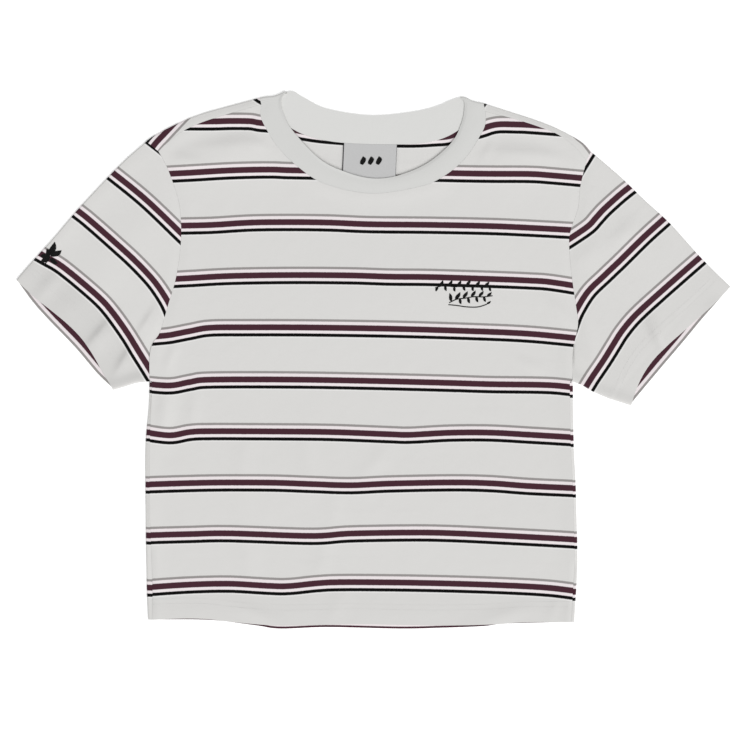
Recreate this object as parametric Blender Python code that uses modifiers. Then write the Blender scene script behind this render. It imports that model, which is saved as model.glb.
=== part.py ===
"""A short crew-neck T-shirt in striped jersey, laid flat with its front up.

Sizes and tables are in millimetres, and turn to metres when a mesh is made.
X runs to the right as seen from above, Y towards the collar, Z up. The origin
is the middle of the shirt's outline, on the surface that it lies on.

The shirt is two layers. The back panel, and the lower halves of the sleeves
and of the neck rib, lie flat on the surface. The front panel and the upper
halves lie over them. The back panel rolls round at the sides and at the
shoulders, so that its seams with the front panel show from above.
"""

import math
from collections import namedtuple

import bmesh
import bpy

MM = 0.001
MERGE = 0.001           # vertices closer than this are one

# Walls and the space between two pieces at a seam
JERSEY = 1.0
RIB = 2.0               # the rib is folded double
LABEL = 1.0
SEAM_GAP = 0.3

# Heights of the upper layer's outer face over the surface
TOP_OPEN = 2.6          # where it lies on the lower layer
TOP_BODY_FOLD = 3.8     # where it meets the body's rolled edges
TOP_SLEEVE_FOLD = 3.2   # where it rolls into a sleeve's lower layer
TOP_RIB = 4.8           # the rib's upper half
EDGE_SOFT = 11.0        # how far in from a fold the upper layer stays lifted
CREASE_START = 16.0     # how far in from a fold the creases are at most half their height

# Driving sizes of the outline
SIDE_LEFT = -223.1      # the body's left edge where it is widest
SIDE_RIGHT = 200.6      # the body's right edge where it is widest
HEM_LEFT = -254.6       # the hem at the left side seam
HEM_RIGHT = -256.8      # and at the right one
UNDERARM = -19.0
SHOULDER_TIP = (-221.0, 213.2), (212.8, 203.0)
NECK_POINT = (-113.6, 254.6), (111.6, 247.4)
NECK_DROP_FRONT = 163.2     # the front neckline's lowest point
NECK_DROP_BACK = 212.2      # the back neckline's lowest point
LABEL_LEFT = -28.4
LABEL_WIDTH = 53.0
LABEL_LENGTH = 38.0

# How finely each stretch is divided. Pieces that share a seam share its count.
SIDE_ROWS = 9
ARMHOLE_ROWS = 13
SHOULDER_COLUMNS = 6
NECK_SIDE = 5           # steps of a neckline's steep side
NECK_MIDDLE = 12        # steps between its two sides
SLEEVE_ROWS = 11
RIB_ROWS = 4
ARC_STEPS = 6           # steps round a folded edge
LABEL_CELLS = 4
NECK_COLUMNS = 2 * NECK_SIDE + NECK_MIDDLE

FINE_STEPS = 60         # of a line that only distances are read from
CURVE_STEPS = 24        # of a curve between two points of a table

Point = namedtuple("Point", "x y")
Crease = namedtuple("Crease", "x y angle length width height")
Recess = namedtuple("Recess", "depth bias")
Half = namedtuple(
    "Half",
    "side edge side_seam armhole back_armhole shoulder_fold shoulder_seam rib_fold "
    "sleeve_fold cuff underarm_fold recess",
)


def line(*rows):
    return [Point(*row) for row in rows]


# Each half of the shirt, as seen: side is -1 on the left and +1 on the right.
#   edge           the body's outer edge, hem to underarm
#   side_seam      the side seam, which the roll brings to the front
#   armhole        the front's armhole seam, underarm to shoulder seam
#   back_armhole   the back's armhole seam, underarm to shoulder tip
#   shoulder_fold  where the back panel starts to roll, tip to neck
#   shoulder_seam  the shoulder seam, which the roll brings to the front
#   rib_fold       where the rib starts to roll, seam to free edge
#   sleeve_fold    where the sleeve's outer edge starts to roll, tip to cuff
#   cuff           the sleeve's lower cuff edge, outer fold to underarm
#   underarm_fold  where the sleeve's inner edge starts to roll, cuff to armhole
#   recess         how deep the upper cuff edge lies inside, and where most so
LEFT = Half(
    side=-1,
    edge=line(
        (-220.5, HEM_LEFT), (-221.6, -230.0), (-222.6, -176.0), (SIDE_LEFT, -127.0),
        (-223.0, -83.0), (-219.8, -44.0), (-219.2, -22.0),
    ),
    side_seam=line(
        (-216.4, HEM_LEFT), (-216.2, -220.0), (-217.4, -183.0), (-218.8, -146.0),
        (-218.8, -88.0), (-217.4, -50.0), (-216.4, -22.0),
    ),
    armhole=line(
        (-219.0, UNDERARM), (-218.9, 3.0), (-216.1, 15.5), (-208.5, 28.0),
        (-200.9, 54.0), (-193.5, 79.0), (-188.8, 110.0), (-188.2, 135.0),
        (-190.8, 157.0), (-201.0, 187.0), (-210.2, 204.3),
    ),
    back_armhole=line(
        (-219.0, UNDERARM), (-213.0, 10.0), (-203.0, 45.0), (-197.0, 90.0),
        (-199.0, 140.0), (-208.0, 180.0), SHOULDER_TIP[0],
    ),
    shoulder_fold=line(
        SHOULDER_TIP[0], (-212.8, 218.8), (-192.4, 229.4), (-169.0, 239.2),
        (-138.0, 248.0), NECK_POINT[0],
    ),
    shoulder_seam=line(
        (-210.2, 204.3), (-201.8, 212.6), (-187.2, 223.6), (-169.5, 232.0),
        (-149.9, 238.6), (-130.3, 244.4), (-112.0, 249.4),
    ),
    rib_fold=line(
        NECK_POINT[0], (-104.0, 254.8), (-97.0, 255.6), (-91.0, 259.0), (-84.8, 262.8),
    ),
    sleeve_fold=line(
        SHOULDER_TIP[0], (-242.8, 194.2), (-266.2, 170.2), (-289.8, 144.7),
        (-313.2, 117.4), (-336.8, 91.2), (-348.4, 77.4),
    ),
    cuff=line(
        (-348.4, 77.4), (-334.0, 57.4), (-318.8, 40.2), (-292.2, 12.5),
        (-269.8, -13.7), (-255.4, -27.2),
    ),
    underarm_fold=line(
        (-255.4, -27.2), (-244.0, -24.0), (-232.0, -20.4), (-219.0, UNDERARM),
    ),
    recess=Recess(10.4, 1.36),
)
RIGHT = Half(
    side=1,
    edge=line(
        (197.4, HEM_RIGHT), (199.0, -230.0), (SIDE_RIGHT, -200.0), (200.0, -166.0),
        (198.6, -117.0), (196.8, -80.0), (196.0, -22.0),
    ),
    side_seam=line(
        (194.2, HEM_RIGHT), (195.8, -230.0), (197.4, -200.0), (197.0, -166.0),
        (195.4, -117.0), (193.6, -80.0), (192.8, -22.0),
    ),
    armhole=line(
        (195.4, UNDERARM), (195.4, -2.0), (196.2, 12.0), (201.0, 35.0),
        (198.9, 54.0), (195.0, 81.0), (192.3, 112.0), (194.0, 128.0),
        (201.0, 149.0), (203.0, 169.0), (209.2, 195.4),
    ),
    back_armhole=line(
        (195.4, UNDERARM), (199.0, 10.0), (200.0, 45.0), (197.0, 90.0),
        (199.0, 140.0), (204.0, 175.0), SHOULDER_TIP[1],
    ),
    shoulder_fold=line(
        SHOULDER_TIP[1], (202.2, 213.0), (179.0, 225.6), (155.2, 234.8),
        (132.0, 242.2), NECK_POINT[1],
    ),
    shoulder_seam=line(
        (209.2, 195.4), (198.0, 208.6), (183.3, 219.6), (168.6, 226.2),
        (141.1, 235.4), (111.4, 243.0),
    ),
    rib_fold=line(
        NECK_POINT[1], (102.9, 248.4), (96.0, 250.8), (91.1, 255.2), (86.0, 257.8),
    ),
    sleeve_fold=line(
        SHOULDER_TIP[1], (241.0, 178.8), (265.4, 155.4), (290.8, 132.0),
        (317.2, 102.6), (338.4, 81.0), (349.2, 70.8),
    ),
    cuff=line(
        (349.2, 70.8), (337.0, 56.6), (321.8, 39.2), (305.0, 18.8),
        (285.4, -4.2), (271.6, -20.6), (253.4, -42.4),
    ),
    underarm_fold=line(
        (253.4, -42.4), (232.0, -35.6), (217.0, -29.2), (206.0, -22.8), (195.4, UNDERARM),
    ),
    recess=Recess(10.8, 1.8),
)
HALVES = (LEFT, RIGHT)

# Lines that cross the shirt, left to right
HEM_FRONT = line(
    (-216.4, HEM_LEFT), (-186.0, -253.4), (-162.0, -254.0), (-138.0, -256.8),
    (-91.0, -260.2), (-20.0, -259.0), (66.0, -260.2), (120.0, -259.0),
    (146.0, -257.2), (194.2, HEM_RIGHT),
)
HEM_BACK = line(
    (-218.6, HEM_LEFT), (-162.0, -254.8), (-115.0, -260.8), (-91.0, -264.2),
    (-44.0, -262.6), (26.0, -264.6), (66.0, -264.0), (107.0, -262.0),
    (132.0, -258.6), (195.5, HEM_RIGHT),
)
NECK_FRONT = line(
    LEFT.shoulder_seam[-1], (-110.0, 238.6), (-104.9, 227.0), (-93.1, 208.4),
    (-72.5, 188.4), (-47.0, 172.6), (-2.0, NECK_DROP_FRONT), (46.1, 170.0),
    (70.6, 180.8), (91.1, 198.6), (104.9, 219.5), (110.0, 231.0),
    RIGHT.shoulder_seam[-1],
)
NECK_BACK = line(
    NECK_POINT[0], (-107.4, 247.6), (-94.1, 236.8), (-70.6, 222.2),
    (-42.1, 215.1), (-1.0, NECK_DROP_BACK), (46.1, 213.2), (72.5, 219.0),
    (95.1, 233.2), (105.6, 241.4), NECK_POINT[1],
)
RIB_FREE_FRONT = line(
    LEFT.rib_fold[-1], (-89.2, 257.6), (-90.2, 250.9), (-88.2, 242.1),
    (-79.4, 225.4), (-52.9, 197.4), (-28.4, 184.7), (-2.0, 178.0),
    (23.5, 180.4), (52.9, 192.6), (77.0, 213.2), (87.0, 233.0),
    (89.7, 248.4), (88.8, 254.0), RIGHT.rib_fold[-1],
)
RIB_FREE_BACK = line(
    LEFT.rib_fold[-1], (-77.4, 261.6), (-67.6, 256.2), (-44.1, 245.6),
    (-2.0, 239.8), (38.2, 243.2), (61.7, 249.0), (76.0, 255.2), RIGHT.rib_fold[-1],
)

# Soft ridges (height above 0) and troughs (below 0) of the upper layer: the
# middle, the crest's direction from +X in degrees, half length and half width
CREASES = [Crease(*row) for row in (
    (-108.0, 213.0, -52.0, 20.0, 8.0, 1.6),
    (-126.0, 226.0, -24.0, 36.0, 10.0, 1.4),
    (104.0, 199.0, 58.0, 18.0, 8.0, 1.4),
    (140.0, 214.0, -20.0, 40.0, 11.0, 1.3),
    (-194.0, -10.0, 78.0, 46.0, 12.0, 1.8),
    (-172.0, -60.0, 84.0, 50.0, 12.0, 1.2),
    (176.0, -20.0, 100.0, 52.0, 12.0, 1.5),
    (-60.0, -236.0, 62.0, 26.0, 10.0, 1.7),
    (-20.0, -240.0, 100.0, 24.0, 10.0, 1.2),
    (96.0, -238.0, 80.0, 26.0, 14.0, 1.4),
    (0.0, 60.0, 8.0, 120.0, 60.0, 0.9),
    (-40.0, -120.0, -6.0, 130.0, 55.0, 0.8),
    (-230.0, 36.0, 66.0, 26.0, 8.0, 2.4),
    (-262.0, 24.0, 50.0, 30.0, 9.0, 2.2),
    (-245.0, -2.0, 58.0, 24.0, 8.0, 2.0),
    (-286.0, 60.0, 42.0, 46.0, 14.0, 1.6),
    (-240.0, 120.0, 40.0, 60.0, 22.0, 1.4),
    (214.0, 8.0, 104.0, 30.0, 8.0, 2.0),
    (246.0, 20.0, 126.0, 32.0, 10.0, 2.2),
    (228.0, 120.0, -40.0, 34.0, 12.0, 1.8),
    (284.0, 62.0, 138.0, 48.0, 15.0, 1.6),
    (262.0, 110.0, -44.0, 60.0, 20.0, 1.2),
)]


# ---------------------------------------------------------------- lines

def mix(a, b, t):
    """The point a share t of the way from a to b."""
    return Point(a.x + (b.x - a.x) * t, a.y + (b.y - a.y) * t)


def along(points, shares):
    """Points of a Catmull-Rom curve through the points, at these shares of its length."""
    dense = []
    ends = [points[0], *points, points[-1]]
    for quad in zip(ends, ends[1:], ends[2:], ends[3:]):
        for k in range(CURVE_STEPS):
            t = k / CURVE_STEPS
            dense.append(Point(*(
                0.5 * (2 * b + (c - a) * t + (2 * a - 5 * b + 4 * c - d) * t ** 2
                       + (3 * b - a - 3 * c + d) * t ** 3)
                for a, b, c, d in zip(*quad)
            )))
    dense.append(points[-1])
    reach = lengths(dense)
    found = []
    k = 0
    for share in shares:
        goal = reach[-1] * share
        while k < len(dense) - 2 and reach[k + 1] < goal:
            k += 1
        found.append(mix(dense[k], dense[k + 1], (goal - reach[k]) / (reach[k + 1] - reach[k])))
    return found


def lengths(points):
    """How far along the line each of its points is."""
    reach = [0.0]
    for a, b in zip(points, points[1:]):
        reach.append(reach[-1] + math.dist(a, b))
    return reach


def smooth(points, steps):
    """A smooth curve through the points, as steps + 1 points evenly spaced along it."""
    return along(points, [step / steps for step in range(steps + 1)])


def unit(a, b):
    """The direction from a to b."""
    length = math.dist(a, b)
    return Point((b.x - a.x) / length, (b.y - a.y) / length)


def beside(points, distance):
    """The line moved sideways: to its right by distance, or to its left if that is below 0."""
    moved = []
    for k, point in enumerate(points):
        ahead = unit(points[max(k - 1, 0)], points[min(k + 1, len(points) - 1)])
        moved.append(Point(point.x + ahead.y * distance, point.y - ahead.x * distance))
    return moved


def split(points, side):
    """A seam line's two edges, half the gap off it: the one towards the body, and the other."""
    return beside(points, -side * SEAM_GAP / 2), beside(points, side * SEAM_GAP / 2)


def corner(a, b, seam):
    """Where two edges meet that both keep their distance from the seams' corner."""
    return Point(a.x + b.x - seam.x, a.y + b.y - seam.y)


def nearest(point, points):
    return min(math.dist(point, other) for other in points)


def patch(bottom, top, left, right):
    """Rows of points that fill the space between four lines with common corners (a Coons patch)."""
    rows = []
    for j in range(len(left)):
        v = j / (len(left) - 1)
        row = []
        for i in range(len(bottom)):
            u = i / (len(bottom) - 1)
            across = mix(left[j], right[j], u)
            upward = mix(bottom[i], top[i], v)
            flat = mix(mix(bottom[0], bottom[-1], u), mix(top[0], top[-1], u), v)
            row.append(Point(across.x + upward.x - flat.x, across.y + upward.y - flat.y))
        rows.append(row)
    return rows


# ---------------------------------------------------------------- heights

def creased(point):
    """Height that the creases add at the point."""
    rise = 0.0
    for crease in CREASES:
        turn = math.radians(crease.angle)
        dx = point.x - crease.x
        dy = point.y - crease.y
        lengthwise = (dx * math.cos(turn) + dy * math.sin(turn)) / crease.length
        crosswise = (dy * math.cos(turn) - dx * math.sin(turn)) / crease.width
        rise += crease.height * math.exp(-lengthwise ** 2 - crosswise ** 2)
    return rise


def upper(rows, folds, fold_top):
    """The rows with their heights in the upper layer: lifted near the folds, creased between."""
    raised = []
    for row in rows:
        raised.append([])
        for point in row:
            away = nearest(point, folds)
            lift = (fold_top - TOP_OPEN) * math.exp(-(away / EDGE_SOFT) ** 2)
            share = 1 - math.exp(-(away / CREASE_START) ** 2)
            raised[-1].append((*point, TOP_OPEN + lift + share * creased(point)))
    return raised


def level(rows, height):
    return [[(*point, height) for point in row] for row in rows]


# ---------------------------------------------------------------- surfaces

class Surface:
    """The outer face of one piece of cloth, built from rows of vertices."""

    def __init__(self):
        self.mesh = bmesh.new()

    def row(self, points):
        return [self.mesh.verts.new([value * MM for value in point]) for point in points]

    def join(self, first, second):
        for a, b, c, d in zip(first, first[1:], second[1:], second):
            self.mesh.faces.new([a, b, c, d])

    def grid(self, rows):
        made = [self.row(points) for points in rows]
        for first, second in zip(made, made[1:]):
            self.join(first, second)
        return made

    def roll(self, low, high, inside):
        """A half round from the vertices low to the vertices high over them, away from inside."""
        starts = [Point(v.co.x / MM, v.co.y / MM) for v in low]
        heights = [v.co.z / MM for v in high]
        previous = low
        arcs = []
        for k, start in enumerate(starts):
            ahead = unit(starts[max(k - 1, 0)], starts[min(k + 1, len(starts) - 1)])
            inward = Point(inside[k].co.x / MM - start.x, inside[k].co.y / MM - start.y)
            side = -1 if inward.x * ahead.y - inward.y * ahead.x > 0 else 1
            radius = heights[k] / 2
            arcs.append([])
            for step in range(1, ARC_STEPS):
                angle = math.pi * step / ARC_STEPS
                reach = side * radius * math.sin(angle)
                arcs[-1].append((
                    start.x + ahead.y * reach,
                    start.y - ahead.x * reach,
                    radius * (1 - math.cos(angle)),
                ))
        for points in zip(*arcs):
            made = self.row(points)
            self.join(previous, made)
            previous = made
        self.join(previous, high)

    def piece(self, name, wall, material, collection):
        """The surface as a named object, its wall towards the inside of the shirt."""
        bmesh.ops.remove_doubles(self.mesh, verts=self.mesh.verts, dist=MERGE * MM)
        bmesh.ops.recalc_face_normals(self.mesh, faces=self.mesh.faces)
        self.mesh.faces.ensure_lookup_table()
        first = self.mesh.faces[0]
        faces_up = first.normal.z > 0
        lower_layer = first.calc_center_median().z < JERSEY * MM
        if faces_up == lower_layer:
            bmesh.ops.reverse_faces(self.mesh, faces=self.mesh.faces)
        data = bpy.data.meshes.new(name)
        self.mesh.to_mesh(data)
        self.mesh.free()
        data.shade_smooth()
        data.materials.append(material)
        made = bpy.data.objects.new(name, data)
        collection.objects.link(made)
        cloth = made.modifiers.new("wall", "SOLIDIFY")
        cloth.thickness = wall * MM
        cloth.offset = -1.0
        cloth.use_even_offset = True
        cloth.use_quality_normals = True
        return made


def cloth_material(name, colour, roughness):
    material = bpy.data.materials.new(name)
    material.use_nodes = True
    shader = material.node_tree.nodes["Principled BSDF"]
    shader.inputs["Base Color"].default_value = (*colour, 1.0)
    shader.inputs["Roughness"].default_value = roughness
    shader.inputs["Metallic"].default_value = 0.0
    material.diffuse_color = (*colour, 1.0)
    return material


# ---------------------------------------------------------------- pieces

def body_blocks(hem_table, sides, shoulders, neck):
    """A body panel as three patches: one under each shoulder and one under the neckline.

    A patch under a shoulder also runs up the neckline's steep side.
    """
    low = len(sides[0]) - NECK_SIDE
    dip = neck[NECK_SIDE:len(neck) - NECK_SIDE]
    width = hem_table[-1].x - hem_table[0].x
    cuts = [0.0, *((end.x - hem_table[0].x) / width for end in (dip[0], dip[-1])), 1.0]
    counts = (SHOULDER_COLUMNS, NECK_MIDDLE, SHOULDER_COLUMNS)
    shares = [
        start + (end - start) * step / count
        for start, end, count in zip(cuts, cuts[1:], counts)
        for step in range(count)
    ]
    hem = along(hem_table, shares + [1.0])
    hem[0] = sides[0][0]
    hem[-1] = sides[1][0]
    first, second = SHOULDER_COLUMNS, SHOULDER_COLUMNS + NECK_MIDDLE
    inner = []
    for side, foot, head, steep in (
        (sides[0], hem[first], dip[0], neck[NECK_SIDE::-1]),
        (sides[1], hem[second], dip[-1], neck[-1 - NECK_SIDE:]),
    ):
        reach = lengths(side[:low])
        inner.append([mix(foot, head, step / reach[-1]) for step in reach[:-1]] + steep)
    return (
        patch(hem[:first + 1], shoulders[0], sides[0], inner[0]),
        patch(hem[first:second + 1], dip, inner[0][:low], inner[1][:low]),
        patch(hem[second:], shoulders[1][::-1], inner[1], sides[1]),
    )


def make_front(material, collection):
    """The front panel, between its seams, on the upper layer."""
    sides = []
    shoulders = []
    for half in HALVES:
        seam = split(smooth(half.side_seam, SIDE_ROWS), half.side)[0]
        armhole = split(smooth(half.armhole, ARMHOLE_ROWS), half.side)[0]
        shoulder = split(smooth(half.shoulder_seam, SHOULDER_COLUMNS), half.side)[0]
        armhole[-1] = shoulder[0] = corner(armhole[-1], shoulder[0], half.armhole[-1])
        sides.append(seam + armhole)
        shoulders.append(shoulder)
    neck = split(smooth(NECK_FRONT, NECK_COLUMNS), LEFT.side)[0]
    for end, shoulder in zip((0, -1), shoulders):
        neck[end] = shoulder[-1] = corner(shoulder[-1], neck[end], NECK_FRONT[end])
    folds = smooth(NECK_FRONT, FINE_STEPS)
    for half in HALVES:
        for rolled in (half.edge, half.shoulder_seam, half.armhole[:3]):
            folds += smooth(rolled, FINE_STEPS)
    surface = Surface()
    for block in body_blocks(HEM_FRONT, sides, shoulders, neck):
        surface.grid(upper(block, folds, TOP_BODY_FOLD))
    return surface.piece("front_panel", JERSEY, material, collection)


def make_back(material, collection):
    """The back panel: flat on the surface, its sides and shoulders rolled to the front."""
    radius = TOP_BODY_FOLD / 2
    sides = []
    shoulders = []
    for half in HALVES:
        edge = beside(smooth(half.edge, SIDE_ROWS), -half.side * radius)
        armhole = split(smooth(half.back_armhole, ARMHOLE_ROWS), half.side)[0]
        shoulder = smooth(half.shoulder_fold, SHOULDER_COLUMNS)
        shoulder[0] = armhole[-1]
        sides.append(edge + armhole)
        shoulders.append(shoulder)
    neck = split(smooth(NECK_BACK, NECK_COLUMNS), LEFT.side)[0]
    for end, shoulder in zip((0, -1), shoulders):
        shoulder[-1] = neck[end]
    surface = Surface()
    left, middle, right = [
        surface.grid(level(block, 0.0)) for block in body_blocks(HEM_BACK, sides, shoulders, neck)
    ]
    for half, block, outer, inner in ((LEFT, left, 0, 1), (RIGHT, right, -1, -2)):
        flat = [row[outer] for row in block[:SIDE_ROWS + 1]]
        inside = [row[inner] for row in block[:SIDE_ROWS + 1]]
        seam = split(smooth(half.side_seam, SIDE_ROWS), half.side)[1]
        lay_over(surface, flat, inside, seam)

        seam = split(smooth(half.shoulder_seam, SHOULDER_COLUMNS), half.side)[1]
        crown = split([half.armhole[-1], half.shoulder_fold[0]], half.side)[0]
        seam[0] = corner(seam[0], crown[0], half.shoulder_seam[0])
        neck_end = split([half.shoulder_seam[-1], half.shoulder_fold[-1]], half.side)[1]
        seam[-1] = corner(seam[-1], neck_end[0], half.shoulder_seam[-1])
        lay_over(surface, block[-1][::-half.side], block[-2][::-half.side], seam)
    return surface.piece("back_panel", JERSEY, material, collection)


def lay_over(surface, flat, inside, seam):
    """Rolls the cloth at the vertices flat over and lays it on the front, up to the seam."""
    starts = [(v.co.x / MM, v.co.y / MM, TOP_BODY_FOLD) for v in flat]
    over = surface.row(starts)
    surface.roll(flat, over, inside)
    surface.join(over, surface.row([(*point, TOP_BODY_FOLD) for point in seam]))


def make_sleeve(name, half, material, collection):
    """A sleeve: a flat tube of an upper and a lower layer, open at the armhole and the cuff."""
    columns = ARMHOLE_ROWS + 1
    outer = smooth(half.sleeve_fold, SLEEVE_ROWS)
    under = smooth(half.underarm_fold, SLEEVE_ROWS)[::-1]
    armhole = smooth(half.armhole, ARMHOLE_ROWS) + [half.shoulder_fold[0]]
    upper_arm = split(armhole, half.side)[1]
    lower_arm = split(smooth(half.back_armhole, ARMHOLE_ROWS), half.side)[1]
    upper_arm[0] = lower_arm[0]
    upper_arm[-1] = lower_arm[-1]
    outer[0] = lower_arm[-1]
    under[0] = lower_arm[0]
    cuff = smooth(half.cuff, columns)[::-1]
    depths = [
        half.recess.depth * math.sin(math.pi * (1 - k / columns) ** half.recess.bias)
        for k in range(columns + 1)
    ]
    inwards = beside(cuff, -half.side)
    upper_cuff = [
        Point(p.x + (q.x - p.x) * depth, p.y + (q.y - p.y) * depth)
        for p, q, depth in zip(cuff, inwards, depths)
    ]
    lower_cuff = smooth(half.cuff, ARMHOLE_ROWS)[::-1]
    folds = smooth(half.sleeve_fold, FINE_STEPS) + smooth(half.underarm_fold, FINE_STEPS)
    surface = Surface()
    high = surface.grid(upper(patch(upper_arm, upper_cuff, under, outer), folds, TOP_SLEEVE_FOLD))
    low = surface.grid(level(patch(lower_arm, lower_cuff, under, outer), 0.0))
    for outside, inner in ((0, 1), (-1, -2)):
        surface.roll(
            [row[outside] for row in low],
            [row[outside] for row in high],
            [row[inner] for row in low],
        )
    return surface.piece(name, JERSEY, material, collection)


def make_rib(material, collection):
    """The neck rib: a flat ring whose front half lies over its back half."""
    front_seam = [NECK_BACK[0], *smooth(NECK_FRONT, NECK_COLUMNS), NECK_BACK[-1]]
    front_seam = split(front_seam, LEFT.side)[1]
    back_seam = split(smooth(NECK_BACK, NECK_COLUMNS), LEFT.side)[1]
    folds = [smooth(half.rib_fold, RIB_ROWS) for half in HALVES]
    for end, fold in zip((0, -1), folds):
        fold[0] = mix(front_seam[end], back_seam[end], 0.5)
        front_seam[end] = back_seam[end] = fold[0]
    front_free = smooth(RIB_FREE_FRONT, NECK_COLUMNS + 2)
    back_free = smooth(RIB_FREE_BACK, NECK_COLUMNS)
    surface = Surface()
    high = surface.grid(level(patch(front_seam, front_free, *folds), TOP_RIB))
    low = surface.grid(level(patch(back_seam, back_free, *folds), 0.0))
    for outside, inner in ((0, 1), (-1, -2)):
        surface.roll(
            [row[outside] for row in low],
            [row[outside] for row in high],
            [row[inner] for row in low],
        )
    return surface.piece("neck_rib", RIB, material, collection)


def make_label(material, collection):
    """The woven label, on the back panel's inner face, hanging from the back neck seam."""
    seam = split(smooth(NECK_BACK, 4 * FINE_STEPS), LEFT.side)[0]
    top = []
    for k in range(LABEL_CELLS + 1):
        x = LABEL_LEFT + LABEL_WIDTH * k / LABEL_CELLS
        top.append(Point(x, min(seam, key=lambda point: abs(point.x - x)).y))
    bottom = [Point(point.x, NECK_DROP_BACK - LABEL_LENGTH) for point in top]
    rows = [[mix(a, b, j / LABEL_CELLS) for a, b in zip(bottom, top)] for j in range(LABEL_CELLS + 1)]
    surface = Surface()
    surface.grid(level(rows, JERSEY + SEAM_GAP + LABEL))
    return surface.piece("neck_label", LABEL, material, collection)


def make_shirt():
    for old in list(bpy.data.objects):
        bpy.data.objects.remove(old)
    shirt = bpy.data.collections.new("t_shirt")
    bpy.context.scene.collection.children.link(shirt)
    jersey = cloth_material("striped_jersey", (0.69, 0.69, 0.68), 0.9)
    rib = cloth_material("plain_rib", (0.67, 0.67, 0.66), 0.9)
    woven = cloth_material("woven_label", (0.55, 0.55, 0.55), 0.7)
    make_front(jersey, shirt)
    make_back(jersey, shirt)
    make_sleeve("sleeve_left", LEFT, jersey, shirt)
    make_sleeve("sleeve_right", RIGHT, jersey, shirt)
    make_rib(rib, shirt)
    make_label(woven, shirt)


make_shirt()
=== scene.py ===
"""The looks of a short crew-neck T-shirt in striped jersey, laid flat with its front up.

Every piece of cloth is a thin shell on the form of its solid. Its lines are the
solids' own lines, in millimetres, divided more finely, and a few of them are moved
by up to 3 mm. The stripes, the turned-up hems, the stitching and the knit are added
here, and so are more creases than the solids have.

A shell's texture coordinates are laid out for its stripes: the first runs along
the rows, and the second runs across them, with the middle of each maroon band at
a whole number.
"""

import math
from collections import namedtuple

import bmesh
import bpy
import numpy as np
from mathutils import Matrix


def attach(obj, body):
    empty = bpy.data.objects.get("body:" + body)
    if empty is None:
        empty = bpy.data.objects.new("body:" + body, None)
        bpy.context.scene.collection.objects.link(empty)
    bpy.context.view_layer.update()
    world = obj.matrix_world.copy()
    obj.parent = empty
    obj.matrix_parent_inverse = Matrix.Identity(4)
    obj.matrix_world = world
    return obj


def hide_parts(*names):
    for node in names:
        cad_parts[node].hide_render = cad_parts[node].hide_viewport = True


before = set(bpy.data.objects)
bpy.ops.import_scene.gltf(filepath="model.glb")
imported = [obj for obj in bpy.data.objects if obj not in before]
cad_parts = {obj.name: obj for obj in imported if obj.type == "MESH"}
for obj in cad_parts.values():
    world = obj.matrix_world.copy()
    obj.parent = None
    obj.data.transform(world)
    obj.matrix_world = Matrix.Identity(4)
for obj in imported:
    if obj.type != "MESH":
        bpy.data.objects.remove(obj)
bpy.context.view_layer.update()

MM = 0.001
MERGE = 0.001           # vertices closer than this are one

# Walls and the space between two pieces at a seam
JERSEY = 1.0
RIB = 2.0               # the rib is folded double
LABEL = 0.7
TURN = 0.45             # a turned-up hem's second layer
SEAM_GAP = 0.04

# How far the walls' edges are rounded
JERSEY_ROUND = 0.12
RIB_ROUND = 0.5
LABEL_ROUND = 0.2

# Heights over the surface
TOP_OPEN = 2.6          # the upper layer, where it lies on the lower layer
TOP_BODY_FOLD = 3.8     # where it meets the body's rolled edges
TOP_ROLL = 2.9          # the rolled edges themselves
ROLL_REACH = 1.9        # how far they go out
TOP_SLEEVE_FOLD = 3.2   # where it rolls into a sleeve's lower layer
TOP_UNDERARM = 4.4      # and the same along the underarm
TOP_RIB = 4.0           # the rib's upper half
TOP_LABEL = 2.3         # the label
TOP_TURN = 1.52         # a turned-up hem's second layer
EDGE_SOFT = 11.0        # how far in from a fold the upper layer stays lifted
UNDERARM_SOFT = 7.0     # the same along the underarm
CREASE_START = 16.0     # how far in from a fold the creases reach 0.63 of their height
SEAM_DROP = 0.15        # how deep the cloth dips into a seam
SEAM_SOFT = 3.0         # and how far from it
ARMHOLE_DROP = 0.45     # the same at the armholes
ARMHOLE_SOFT = 5.0
CORNER_DROP = 0.9       # the same at the side seams where they come to the hem
CORNER_SOFT = 1.6
RIB_DROP = TOP_RIB - TOP_BODY_FOLD + SEAM_DROP     # down from the rib to the neck seam
RIB_SOFT = 6.0
FREE_DROP = 0.3         # how far the rib falls off to its free edge
FREE_SOFT = 5.0
BEAD = 0.7              # how far that edge stands up on the left, and dips on the right
BEAD_SOFT = 1.6         # and how far from it
BEAD_TURN = 40.0        # how gradually the one turns into the other, across the neck
HEM_RISE = 0.2          # how much higher the cloth lies where it is turned up
HEM_SOFT = 2.0          # how gradually it rises
STITCH_DIP = 0.15       # how deep its stitching pulls it in
STITCH_SOFT = 3.0

# Driving sizes of the outline
SIDE_LEFT = -223.1      # the body's left edge where it is widest
SIDE_RIGHT = 200.6      # the body's right edge where it is widest
HEM_LEFT = -254.6       # the hem at the left side seam
HEM_RIGHT = -256.8      # and at the right one
UNDERARM = -19.0        # where the armholes start
SHOULDER_TIP = (-221.0, 213.2), (212.8, 203.0)
NECK_POINT = (-110.6, 255.3), (108.6, 249.8)
NECK_DROP_FRONT = 163.2     # the front neckline's lowest point
NECK_DROP_BACK = 211.5      # the back neckline's lowest point
LABEL_LEFT = -29.0      # the label's left edge at its top
LABEL_LEAN = 1.7        # how far its bottom is further left than its top
LABEL_WIDTH = 52.6
LABEL_LENGTH = 38.0
HEM_DEPTH = 22.0            # how deep the hem and the cuffs are turned up
STITCHED = 17.5             # how far in the middle of their twin seam is

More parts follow.
